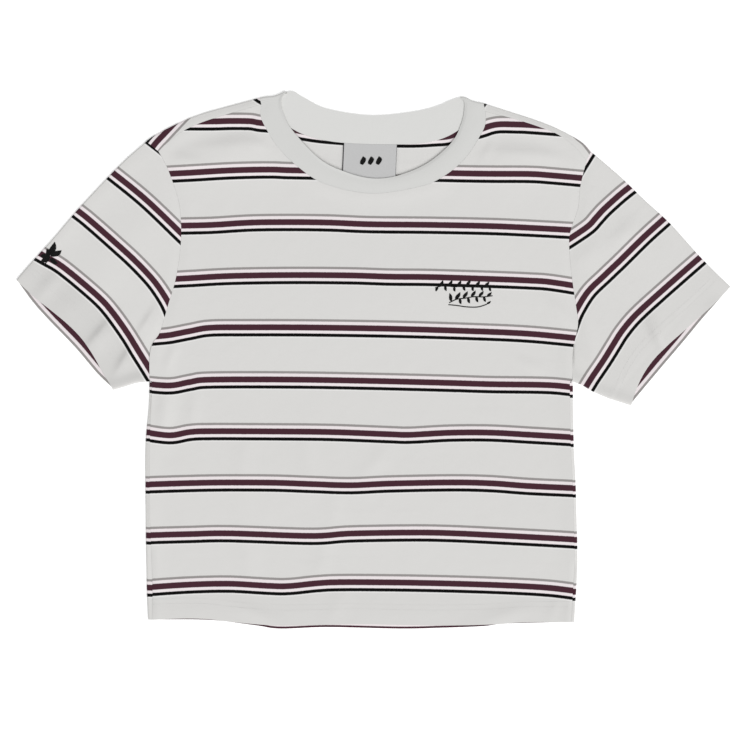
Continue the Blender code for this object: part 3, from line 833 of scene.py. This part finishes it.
def woven_label():
    """A grey woven tape, with a dark line of painted shade along each side."""
    graph = Graph("woven_label")
    u, v = graph.coordinates()
    warp = graph.math("SINE", graph.math("MULTIPLY", u, 2 * math.pi * REPEAT / WARP))
    weft = graph.math("SINE", graph.math("MULTIPLY", v, 2 * math.pi * REPEAT / WEFT))
    cells = graph.math("MULTIPLY", warp, weft)
    tape = graph.mixed(graph.noise(1500.0, 2.0), LABEL_GREY, linear(190, 190, 190))
    # painted shade: a dark line along each side of the label, wider on the left
    left = graph.math("LESS_THAN", u, EDGE_SHADE_WIDTH[0] / REPEAT)
    right = graph.math("GREATER_THAN", u, (LABEL_WIDTH - EDGE_SHADE_WIDTH[1]) / REPEAT)
    colour = graph.mixed(graph.math("ADD", left, right), tape, LABEL_EDGE_SHADE)
    return graph.finish(colour, graph.bump(cells, 0.06, 0.4), 0.6, 0.03)


def yarn(name, colour):
    """A twisted thread."""
    graph = Graph(name)
    fuzz = graph.noise(1800.0, 2.0)
    darker = tuple(value * 0.8 for value in colour)
    return graph.finish(graph.mixed(fuzz, darker, colour), graph.bump(fuzz, 0.1, 0.4), 0.75, 0.1)


FLOOR_GLOW = 0.25       # the light that the floor gives off itself, which keeps it white


def white_floor():
    graph = Graph("floor")
    graph.shader.inputs["Emission Color"].default_value = (1.0, 1.0, 1.0, 1.0)
    graph.shader.inputs["Emission Strength"].default_value = FLOOR_GLOW
    return graph.finish((0.95, 0.95, 0.95), None, 0.9, 0.0)


# ---------------------------------------------------------------- pieces of cloth

def placed(name, data):
    """A new object of the scene with this data."""
    made = bpy.data.objects.new(name, data)
    bpy.context.scene.collection.objects.link(made)
    return made


class Cloth:
    """The outer face of one piece of cloth, built from grids of points."""

    def __init__(self):
        self.points = []
        self.coordinates = []
        self.quads = []
        self.count = 0

    def grid(self, points, coordinates):
        rows, columns = points.shape[:2]
        numbers = self.count + np.arange(rows * columns).reshape(rows, columns)
        corners = (numbers[:-1, :-1], numbers[:-1, 1:], numbers[1:, 1:], numbers[1:, :-1])
        self.quads.append(np.stack(corners, axis=-1).reshape(-1, 4))
        self.points.append(points.reshape(-1, 3))
        self.coordinates.append(coordinates.reshape(-1, 2))
        self.count += rows * columns

    def mesh(self, name):
        data = bpy.data.meshes.new(name)
        points = np.vstack(self.points) * MM
        data.from_pydata(points.tolist(), [], np.vstack(self.quads).tolist())
        corners = np.empty(len(data.loops), dtype=np.int32)
        data.loops.foreach_get("vertex_index", corners)
        values = np.vstack(self.coordinates)[corners].astype(np.float32)
        data.uv_layers.new(name="cloth").data.foreach_set("uv", values.ravel())
        return data

    def piece(self, name, material, wall=JERSEY, edge_round=JERSEY_ROUND):
        """The surface as a named object, its wall towards the inside of the shirt.

        Its faces look up on the upper layer, and down on the lower one.
        """
        data = self.mesh(name)
        surface = bmesh.new()
        surface.from_mesh(data)
        bmesh.ops.remove_doubles(surface, verts=surface.verts, dist=MERGE * MM)
        bmesh.ops.recalc_face_normals(surface, faces=surface.faces)
        surface.faces.ensure_lookup_table()
        first = surface.faces[0]
        faces_up = first.normal.z > 0
        lower_layer = first.calc_center_median().z < JERSEY * MM
        if faces_up == lower_layer:
            bmesh.ops.reverse_faces(surface, faces=surface.faces)
        surface.to_mesh(data)
        surface.free()
        return dressed(name, data, material, wall, edge_round)


def dressed(name, data, material, wall, edge_round):
    """An object with this mesh, given its wall and its rounded edges."""
    data.shade_smooth()
    data.materials.append(material)
    made = placed(name, data)
    cloth = made.modifiers.new("wall", "SOLIDIFY")
    cloth.thickness = wall * MM
    cloth.offset = -1.0
    cloth.use_even_offset = True
    cloth.use_quality_normals = True
    edge = made.modifiers.new("edge", "BEVEL")
    edge.width = edge_round * MM
    edge.segments = 2
    edge.limit_method = "ANGLE"
    edge.angle_limit = math.radians(60.0)
    edge.harden_normals = True
    return made


def rolled(low, tops, inside, reach=None):
    """A half round from the flat points low up to these heights over them, away from inside.

    It goes out by reach, or by half its height if none is given.
    """
    outward = rightward(headings(low))
    away = np.where(((inside - low) * outward).sum(axis=1) > 0, -1.0, 1.0)
    radius = np.asarray(tops) / 2
    if reach is None:
        reach = radius
    angles = np.linspace(0.0, math.pi, ARC_STEPS + 1)[:, None]
    aside = (away * reach * np.sin(angles))[..., None]
    heights = radius * (1 - np.cos(angles))
    return raised(low[None] + outward[None] * aside, heights)


def body_blocks(hem_table, sides, shoulders, neck):
    """A body panel as three patches: one under each shoulder and one under the neckline.

    A patch under a shoulder also runs up the neckline's steep side.
    """
    low = len(sides[0]) - NECK_SIDE
    dip = neck[NECK_SIDE:len(neck) - NECK_SIDE]
    start, end = hem_table[0, 0], hem_table[-1, 0]
    cuts = [0.0, (dip[0, 0] - start) / (end - start), (dip[-1, 0] - start) / (end - start), 1.0]
    first, second = SHOULDER_COLUMNS, SHOULDER_COLUMNS + NECK_MIDDLE
    last = second + SHOULDER_COLUMNS
    hem = along(hem_table, np.interp(np.arange(last + 1), [0, first, second, last], cuts))
    hem[0] = sides[0][0]
    hem[-1] = sides[1][0]
    inner = []
    for side, foot, head, steep in (
        (sides[0], hem[first], dip[0], neck[NECK_SIDE::-1]),
        (sides[1], hem[second], dip[-1], neck[-1 - NECK_SIDE:]),
    ):
        reach = lengths(side[:low])
        shares = (reach[:-1] / reach[-1])[:, None]
        inner.append(np.vstack([foot + (head - foot) * shares, steep]))
    return (
        patch(hem[:first + 1], shoulders[0], sides[0], inner[0]),
        patch(hem[first:second + 1], dip, inner[0][:low], inner[1][:low]),
        patch(hem[second:], shoulders[1][::-1], inner[1], sides[1]),
    )


def front_relief():
    folds = [(NECK_FRONT, TOP_BODY_FOLD, EDGE_SOFT)]
    seams = [(NECK_FRONT, SEAM_DROP, SEAM_SOFT)]
    for half in HALVES:
        for fold in (half.edge, half.shoulder_seam, half.armhole[:3]):
            folds.append((fold, TOP_BODY_FOLD, EDGE_SOFT))
        for seam in (half.side_seam, half.shoulder_seam):
            seams.append((seam, SEAM_DROP, SEAM_SOFT))
        seams.append((half.side_seam[:3], CORNER_DROP, CORNER_SOFT))
        seams.append((half.armhole, ARMHOLE_DROP, ARMHOLE_SOFT))
    return Relief(folds, seams, HEM_FRONT)


def sleeve_relief(half):
    folds = [
        (half.sleeve_fold, TOP_SLEEVE_FOLD, EDGE_SOFT),
        (half.underarm_fold, TOP_UNDERARM, UNDERARM_SOFT),
    ]
    return Relief(folds, [(half.armhole, ARMHOLE_DROP, ARMHOLE_SOFT)], half.cuff)


def make_front(relief, material):
    """The front panel, between its seams, on the upper layer."""
    sides = []
    shoulders = []
    for half in HALVES:
        seam = split(smooth(half.side_seam, SIDE_ROWS), half.side)[0]
        armhole = split(smooth(half.armhole, ARMHOLE_ROWS), half.side)[0]
        shoulder = split(smooth(half.shoulder_seam, SHOULDER_COLUMNS), half.side)[0]
        armhole[-1] = shoulder[0] = corner(armhole[-1], shoulder[0], half.armhole[-1])
        sides.append(np.vstack([seam, armhole]))
        shoulders.append(shoulder)
    neck = split(smooth(NECK_FRONT, NECK_COLUMNS), LEFT.side)[0]
    for end, shoulder in zip((0, -1), shoulders):
        neck[end] = shoulder[-1] = corner(shoulder[-1], neck[end], NECK_FRONT[end])
    cloth = Cloth()
    for block in body_blocks(HEM_FRONT, sides, shoulders, neck):
        cloth.grid(raised(block, relief(block)), striped(block, FRONT_ROWS, BODY_GRAIN))
    return cloth.piece("front_cloth", material)


def make_back(relief, material):
    """The back panel: flat on the surface, its sides and shoulders rolled to the front."""
    sides = []
    shoulders = []
    for half in HALVES:
        edge = beside(smooth(half.edge, SIDE_ROWS), -half.side * ROLL_REACH)
        armhole = split(smooth(half.back_armhole, ARMHOLE_ROWS), half.side)[0]
        shoulder = smooth(half.shoulder_fold, SHOULDER_COLUMNS)
        shoulder[0] = armhole[-1]
        sides.append(np.vstack([edge, armhole]))
        shoulders.append(shoulder)
    neck = split(smooth(NECK_BACK, NECK_COLUMNS), LEFT.side)[0]
    for end, shoulder in zip((0, -1), shoulders):
        shoulder[-1] = neck[end]
    rows = back_rows()
    cloth = Cloth()
    left, middle, right = body_blocks(HEM_BACK, sides, shoulders, neck)
    for block in (left, middle, right):
        cloth.grid(lower(block), striped(block, rows, BODY_GRAIN))
    for half, block, outer, inner in ((LEFT, left, 0, 1), (RIGHT, right, -1, -2)):
        seam = split(smooth(half.side_seam, SIDE_ROWS), half.side)[1]
        flat = block[:SIDE_ROWS + 1, outer]
        inside = block[:SIDE_ROWS + 1, inner]
        lay_over(cloth, flat, inside, seam, relief, rows, BODY_GRAIN)

        # The strip's ends keep their distance from the seams of the sleeve and the rib
        seam = split(smooth(half.shoulder_seam, SHOULDER_COLUMNS), half.side)[1]
        crown = split(np.array([half.armhole[-1], half.shoulder_fold[0]]), half.side)[0]
        seam[0] = corner(seam[0], crown[0], half.shoulder_seam[0])
        neck_end = split(np.array([half.shoulder_seam[-1], half.shoulder_fold[-1]]), half.side)[1]
        seam[-1] = corner(seam[-1], neck_end[0], half.shoulder_seam[-1])
        flat = block[-1, ::-half.side]
        inside = block[-2, ::-half.side]
        strip = STRIP_ROWS[half.side]
        lay_over(cloth, flat, inside, seam, relief, strip, SLEEVE_GRAIN[half.side])
    return cloth.piece("back_cloth", material)


def lay_over(cloth, flat, inside, seam, relief, rows, grain):
    """Rolls the cloth over at the points flat and lays it on the front, up to the seam."""
    arc = rolled(flat, np.full(len(flat), TOP_ROLL), inside, ROLL_REACH)
    arc[0, :, 2] = lower(flat)[:, 2]
    cloth.grid(arc, striped(arc, rows, grain))
    shares = even(OVER_STEPS)[:, None]
    heights = TOP_ROLL + (relief(seam) - TOP_ROLL) * np.sin(math.pi / 2 * shares)
    over = raised(flat + (seam - flat) * shares[..., None], heights)
    cloth.grid(over, striped(over, rows, grain))


def upper_cuff(half):
    """The upper layer's cuff edge, outer fold to underarm, which lies inside the lower layer's."""
    shares = even(CUFF_COLUMNS)
    depths = half.recess.depth * np.sin(math.pi * shares ** half.recess.bias)
    return beside(smooth(half.cuff, CUFF_COLUMNS), half.side * depths)


def make_sleeve(name, half, relief, material):
    """A sleeve: a flat tube of an upper and a lower layer, open at the armhole and the cuff."""
    outer = smooth(half.sleeve_fold, SLEEVE_ROWS)
    under = smooth(half.underarm_fold, SLEEVE_ROWS)[::-1].copy()
    armhole = np.vstack([smooth(half.armhole, ARMHOLE_ROWS), half.shoulder_fold[:1]])
    upper_arm = split(armhole, half.side)[1]
    lower_arm = split(smooth(half.back_armhole, CUFF_COLUMNS), half.side)[1]
    upper_arm[0] = under[0] = lower_arm[0]
    upper_arm[-1] = outer[0] = lower_arm[-1]
    cuff = smooth(half.cuff, CUFF_COLUMNS)[::-1]
    layout = (SLEEVE_STRIPES[half.side], SLEEVE_GRAIN[half.side], SLEEVE_FIRST[half.side])
    high = patch(upper_arm, upper_cuff(half)[::-1], under, outer)
    low = patch(lower_arm, cuff, under, outer)
    heights = relief(high)
    cloth = Cloth()
    cloth.grid(raised(high, heights), striped(high, *layout))
    cloth.grid(lower(low), striped(low, *layout))
    for outside, inner in ((0, 1), (-1, -2)):
        arc = rolled(low[:, outside], heights[:, outside], low[:, inner])
        arc[0, :, 2] = lower(low[:, outside])[:, 2]
        cloth.grid(arc, striped(arc, *layout))
    return cloth.piece(name, material)


def make_rib(material):
    """The neck rib: a flat ring whose front half lies over its back half."""
    front_seam = np.vstack([NECK_BACK[:1], smooth(NECK_FRONT, NECK_COLUMNS), NECK_BACK[-1:]])
    front_seam = split(front_seam, LEFT.side)[1]
    back_seam = split(smooth(NECK_BACK, NECK_COLUMNS), LEFT.side)[1]
    folds = [smooth(half.rib_fold, RIB_ROWS) for half in HALVES]
    for end, fold in zip((0, -1), folds):
        fold[0] = (front_seam[end] + back_seam[end]) / 2
        front_seam[end] = back_seam[end] = fold[0]
    front_free = smooth(RIB_FREE_FRONT, NECK_COLUMNS + 2)
    back_free = smooth(RIB_FREE_BACK, NECK_COLUMNS)
    high = patch(front_seam, front_free, *folds)
    low = patch(back_seam, back_free, *folds)
    from_seam = nearest(high.reshape(-1, 2), smooth(NECK_FRONT, SEAM_STEPS))[1]
    from_free = nearest(high.reshape(-1, 2), smooth(RIB_FREE_FRONT, SEAM_STEPS))[1]
    heights = TOP_RIB - RIB_DROP * fade(from_seam, RIB_SOFT)
    heights -= FREE_DROP * fade(from_free, FREE_SOFT)
    heights -= BEAD * np.tanh(high[..., 0].ravel() / BEAD_TURN) * fade(from_free, BEAD_SOFT)
    heights = heights.reshape(high.shape[:-1])
    taper = np.sqrt(1 - even(RIB_ROWS) ** 4)    # the bulge goes down to nothing at the free edge
    cloth = Cloth()
    cloth.grid(raised(high, heights), plain(high))
    cloth.grid(raised(low, 0.0), plain(low) + (0.0, RIB_INSIDE_V))
    for outside, inner in ((0, 1), (-1, -2)):
        tops = heights[:, outside]
        arc = rolled(low[:, outside], tops, low[:, inner], taper * tops / 2)
        cloth.grid(arc, plain(arc))
    return cloth.piece("collar_rib", material, RIB, RIB_ROUND)


def label_lines():
    """The label's top and bottom edges, left to right."""
    seam = split(smooth(NECK_BACK, SEAM_STEPS), LEFT.side)[0]
    across = LABEL_LEFT + LABEL_WIDTH * even(LABEL_CELLS)
    top = np.column_stack([across, np.interp(across, seam[:, 0], seam[:, 1])])
    foot = np.full(len(across), NECK_DROP_BACK - LABEL_LENGTH)
    bottom = np.column_stack([across - LABEL_LEAN, foot])
    return top, bottom


def make_label(material):
    """The woven label, over the back panel's inner face, hanging from the back neck seam."""
    top, bottom = label_lines()
    shares = even(LABEL_CELLS)[:, None, None]
    rows = bottom + (top - bottom) * shares
    cloth = Cloth()
    cloth.grid(raised(rows, TOP_LABEL), plain(rows))
    return cloth.piece("label_cloth", material, LABEL, LABEL_ROUND)


def make_turn(name, edge, inner, band, material):
    """The turned-up part of a hem, on the lower layer's inner face, seen past the upper layer.

    It runs from the line edge towards the line inner. The middle of its maroon band lies
    band in from its edge, or outside it if band is below 0.
    """
    run = inner - edge
    length = np.linalg.norm(run, axis=1)
    depth = np.minimum(HEM_DEPTH, TURN_MOST * length)
    reach = even(TURN_ROWS)[:, None] * depth
    points = edge + (run / length[:, None]) * reach[..., None]
    away = nearest(points.reshape(-1, 2), edge)[1].reshape(points.shape[:-1])
    along_edge = np.broadcast_to(lengths(edge) / REPEAT, away.shape)
    coordinates = np.stack([along_edge, (away - band) / REPEAT], axis=-1)
    cloth = Cloth()
    cloth.grid(raised(points, TOP_TURN + lower(points)[..., 2]), coordinates)
    return cloth.piece(name, material, TURN)


def make_cuff_turn(name, half, material):
    """A cuff's turned-up part."""
    edge = smooth(half.cuff, CUFF_COLUMNS)[::-1]
    return make_turn(name, edge, smooth(half.back_armhole, CUFF_COLUMNS), CUFF_BAND, material)


def make_hem_turn(material):
    """The hem's turned-up part, which stops short of the shirt's sides."""
    edge = smooth(HEM_BACK, 2 * SHOULDER_COLUMNS + NECK_MIDDLE)[2:-2]
    inner = edge + (0.0, 2 * HEM_DEPTH)
    return make_turn("hem_turn", edge, inner, HEM_BAND, material)


# ---------------------------------------------------------------- threads

# A thread is a row of six-sided rings: where along it they are, and how full it is there
STATIONS = np.array([0.0, 0.07, 0.22, 0.5, 0.78, 0.93, 1.0])
FULLNESS = np.array([0.25, 0.8, 1.0, 1.0, 1.0, 0.8, 0.25])
SIDES = 6
THREAD_LIFT = 0.3       # how high its middle lies over the cloth, as a share of its thickness
SEAM_THREAD = 0.2       # thickness
SPRIG_THREAD = 0.42
MARK_THREAD = 0.36


def make_threads(name, starts, ends, thickness, height_of, material):
    """Short threads laid on the cloth from each start to its end, as one mesh."""
    starts = np.vstack(starts)
    ends = np.vstack(ends)
    run = ends - starts
    sideways = rightward(run / np.linalg.norm(run, axis=1, keepdims=True))
    turns = 2 * math.pi * np.arange(SIDES) / SIDES
    radius = thickness / 2 * FULLNESS[None, :, None]
    aside = radius * np.cos(turns)
    up = radius * np.sin(turns) + THREAD_LIFT * thickness * FULLNESS[None, :, None]
    middle = starts[:, None] + run[:, None] * STATIONS[None, :, None]
    flat = middle[:, :, None] + sideways[:, None, None] * aside[..., None]
    heights = height_of(middle)[..., None] + up
    points = raised(flat, heights).reshape(-1, 3) * MM
    ring = np.arange(SIDES)
    after = (ring + 1) % SIDES
    quads = []
    for station in range(len(STATIONS) - 1):
        low = station * SIDES
        high = low + SIDES
        quads.append(np.column_stack([low + ring, low + after, high + after, high + ring]))
    caps = [ring[::-1], (len(STATIONS) - 1) * SIDES + ring]
    size = len(STATIONS) * SIDES
    faces = []
    for k in range(len(starts)):
        for group in quads:
            faces += (group + k * size).tolist()
        faces += [(cap + k * size).tolist() for cap in caps]
    data = bpy.data.meshes.new(name)
    data.from_pydata(points.tolist(), [], faces)
    surface = bmesh.new()
    surface.from_mesh(data)
    bmesh.ops.recalc_face_normals(surface, faces=surface.faces)
    surface.to_mesh(data)
    surface.free()
    data.shade_smooth()
    data.materials.append(material)
    return placed(name, data)


STITCH = 2.5            # a straight stitch
STITCH_GAP = 0.7        # and the space to the next
TWIN = 5.0              # between the two rows of a twin-needle seam
STEM_STITCH = 1.5
STEM_STEP = 0.6 * STEM_STITCH       # stem stitches overlap
STEM_ROWS = (-0.3, 0.0, 0.3)        # a stem's three threads, off its middle


def stitches(points, first, length, step):
    """Starts and ends of stitches of this length along the line, one each step from first on."""
    reach = lengths(points)
    begins = np.arange(first, reach[-1] - length, step)
    return [
        np.column_stack([np.interp(begins + ahead, reach, points[:, k]) for k in (0, 1)])
        for ahead in (0.0, length)
    ]


def twin_seam(name, edge, inward, height_of, material):
    """Two rows of stitches along a hem, inward of its edge: 1 for its right, -1 for its left."""
    rows = [
        stitches(beside(edge, inward * distance), STITCH_GAP, STITCH, STITCH + STITCH_GAP)
        for distance in (STITCHED - TWIN / 2, STITCHED + TWIN / 2)
    ]
    starts, ends = zip(*rows)
    return make_threads(name, starts, ends, SEAM_THREAD, height_of, material)


SATIN_STEP = 0.42       # from one satin stitch to the next
SATIN_SLANT = 0.5       # how far a stitch runs towards the leaf's tip for each mm across the leaf
LEAF_BIAS = 0.85        # below 1, a leaf is widest nearer its base
LEAF_END = 0.15         # half its width at its ends


def leaf(base, tip, width):
    """Slanting satin stitches that fill a leaf from its base to its tip."""
    base = np.array(base)
    run = np.array(tip) - base
    length = np.linalg.norm(run)
    ahead = run / length
    across = np.array([ahead[1], -ahead[0]])
    count = round(length / SATIN_STEP)
    shares = (np.arange(count) + 0.5) / count
    middle = base + run * shares[:, None]
    half = (width / 2 * np.sin(math.pi * shares ** LEAF_BIAS) + LEAF_END)[:, None]
    slant = (across + SATIN_SLANT * ahead) * half
    return middle - slant, middle + slant


def make_sprig(name, stems, leaves, height_of, material):
    """A small embroidered sprig: its stems, three threads wide, and its leaves (base, tip, width)."""
    threads = [leaf(*row) for row in leaves]
    for points in stems:
        curve = smooth(line(*points), FINE_STEPS)
        threads += [stitches(beside(curve, off), 0.0, STEM_STITCH, STEM_STEP) for off in STEM_ROWS]
    starts, ends = zip(*threads)
    return make_threads(name, starts, ends, SPRIG_THREAD, height_of, material)


def make_chest_sprig(relief, material):
    """Three stems, one over the other, on the chest: two leafy ones and one with a single leaf."""
    stems = (
        [
            (60.8, 70.5), (70, 73), (80, 71.6), (90, 73.2), (100, 71.8),
            (108, 72.6), (116, 70.6),
        ],
        [(74.5, 56), (82, 59.5), (90, 60.5), (99, 62), (108, 61.8), (117.5, 63)],
        [(73.8, 54.2), (82, 53.4), (92, 52), (103, 52), (112, 54.8)],
    )
    leaves = (
        ((63, 71.4), (61.8, 67.2), 2.6), ((66, 72.2), (68.5, 78), 3),
        ((70, 73), (72, 67.6), 2.8), ((74.5, 72.4), (77.5, 78.2), 3),
        ((79, 71.6), (80.5, 67), 2.6), ((83, 72), (86.2, 77.8), 3),
        ((88, 73), (90.4, 67.8), 2.8), ((92, 73), (95.4, 78.4), 3),
        ((97, 72.2), (98.4, 67.4), 2.6), ((101, 71.9), (104.6, 77.6), 3),
        ((106, 72.5), (107.6, 67.8), 2.6), ((110, 72.2), (113.8, 76.6), 2.8),
        ((113.5, 71.3), (115.8, 67.4), 2.4), ((77, 57.4), (75, 65.4), 3.4),
        ((81, 59), (85.4, 66.4), 3.6), ((84.5, 60), (86.5, 54.8), 3),
        ((88.5, 60.4), (92.6, 67.2), 3.4), ((92.5, 60.9), (95, 55.6), 3),
        ((96.5, 61.6), (100.4, 68), 3.2), ((100.5, 62), (103, 56.6), 3),
        ((104, 61.9), (108.2, 67.6), 3), ((108, 61.9), (110.6, 57), 2.8),
        ((112, 62.2), (116.2, 66.4), 2.6), ((111.6, 54.6), (115.4, 57.6), 2),
    )
    return make_sprig("chest_sprig", stems, leaves, relief, material)


def make_sleeve_sprig(relief, material):
    """A small leafy sprig near the left sleeve's outer fold."""
    stems = ([(-322.5, 92.8), (-319, 97), (-316, 102)],)
    leaves = (
        ((-315.8, 102.2), (-311.8, 115.6), 6.4), ((-315.4, 101.4), (-305.2, 107.4), 6),
        ((-316.8, 101.6), (-319.8, 108.8), 5.4), ((-317.2, 100.8), (-325.8, 101.8), 5.4),
        ((-317.4, 99.2), (-325.6, 96), 4.8), ((-317, 98.6), (-308.8, 94.6), 5),
    )
    return make_sprig("sleeve_sprig", stems, leaves, relief, material)


MARK_MIDDLES = -9.8, -2.0, 5.8      # the label's three marks, across it
MARK_FOOT = 191.4
MARK_TOP = 199.6
MARK_WIDTH = 6.2


def make_label_marks(material):
    """Three small woven diamonds on the label."""
    marks = [leaf((x, MARK_FOOT), (x, MARK_TOP), MARK_WIDTH) for x in MARK_MIDDLES]
    starts, ends = zip(*marks)
    return make_threads(
        "label_marks", starts, ends, MARK_THREAD,
        lambda points: np.full(points.shape[:-1], TOP_LABEL), material,
    )


# ---------------------------------------------------------------- shirt

def make_shirt():
    jersey = striped_jersey()
    rib = plain_rib()
    woven = woven_label()
    pale = yarn("pale_thread", FAINT)
    dark = yarn("black_thread", BLACK)
    reliefs = {half.side: sleeve_relief(half) for half in HALVES}
    chest = front_relief()

    front = make_front(chest, jersey)
    back = make_back(chest, jersey)
    collar = make_rib(rib)
    label = make_label(woven)
    hem_turn = make_hem_turn(jersey)
    hem_stitches = twin_seam("hem_stitches", smooth(HEM_FRONT, FINE_STEPS), -1, chest, pale)
    chest_sprig = make_chest_sprig(chest, dark)
    label_marks = make_label_marks(dark)
    sleeves = {}
    extras = {-1: [make_sleeve_sprig(reliefs[-1], dark)], 1: []}
    for half, word in zip(HALVES, ("left", "right")):
        relief = reliefs[half.side]
        sleeves[word] = make_sleeve("sleeve_cloth_" + word, half, relief, jersey)
        extras[half.side].append(make_cuff_turn("cuff_turn_" + word, half, jersey))
        edge = upper_cuff(half)[3:-3]       # the seam stops short of the folds
        seam = twin_seam("cuff_stitches_" + word, edge, half.side, relief, pale)
        extras[half.side].append(seam)

    pieces = {
        "front_panel": (front, [hem_stitches, chest_sprig]),
        "back_panel": (back, [hem_turn]),
        "sleeve_left": (sleeves["left"], extras[-1]),
        "sleeve_right": (sleeves["right"], extras[1]),
        "neck_rib": (collar, []),
        "neck_label": (label, [label_marks]),
    }
    for node, (piece, on_it) in pieces.items():
        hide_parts(node)
        for each in (piece, *on_it):
            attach(each, "root")


# ---------------------------------------------------------------- studio

VIEW_WIDTH = 735.0      # how much of the surface the picture takes in
VIEW_MIDDLE = Point(1.96, -14.7)    # and the point in its middle
LENS = 85.0
SENSOR = 36.0
FLOOR_REACH = 20.0      # metres from the middle to each side
SKY = 0.483             # brightness of the light from all round
KEY = 2.18              # and of the key light
KEY_WIDTH = math.radians(45.0)      # how wide the key light is, as seen from the shirt
KEY_TILT = math.radians(40.0)       # from straight overhead
KEY_TURN = math.radians(35.0)       # from the hem's side towards the right


def make_studio():
    floor = bpy.data.meshes.new("floor")
    corners = [(FLOOR_REACH * x, FLOOR_REACH * y, 0) for x, y in ((-1, -1), (1, -1), (1, 1), (-1, 1))]
    floor.from_pydata(corners, [], [(0, 1, 2, 3)])
    floor.materials.append(white_floor())
    placed("floor", floor)

    world = bpy.data.worlds.new("studio")
    world.use_nodes = True
    background = world.node_tree.nodes["Background"]
    background.inputs["Color"].default_value = (1.0, 1.0, 1.0, 1.0)
    background.inputs["Strength"].default_value = SKY
    bpy.context.scene.world = world
    bpy.context.scene.view_settings.view_transform = "Standard"

    lamp = bpy.data.lights.new("key", "SUN")
    lamp.energy = KEY
    lamp.angle = KEY_WIDTH
    placed("key", lamp).rotation_euler = (KEY_TILT, 0.0, KEY_TURN)

    lens = bpy.data.cameras.new("camera")
    lens.lens = LENS
    lens.sensor_width = SENSOR
    camera = placed("camera", lens)
    distance = VIEW_WIDTH * LENS / SENSOR + TOP_OPEN
    camera.location = (VIEW_MIDDLE.x * MM, VIEW_MIDDLE.y * MM, distance * MM)
    bpy.context.scene.camera = camera


make_studio()
make_shirt()
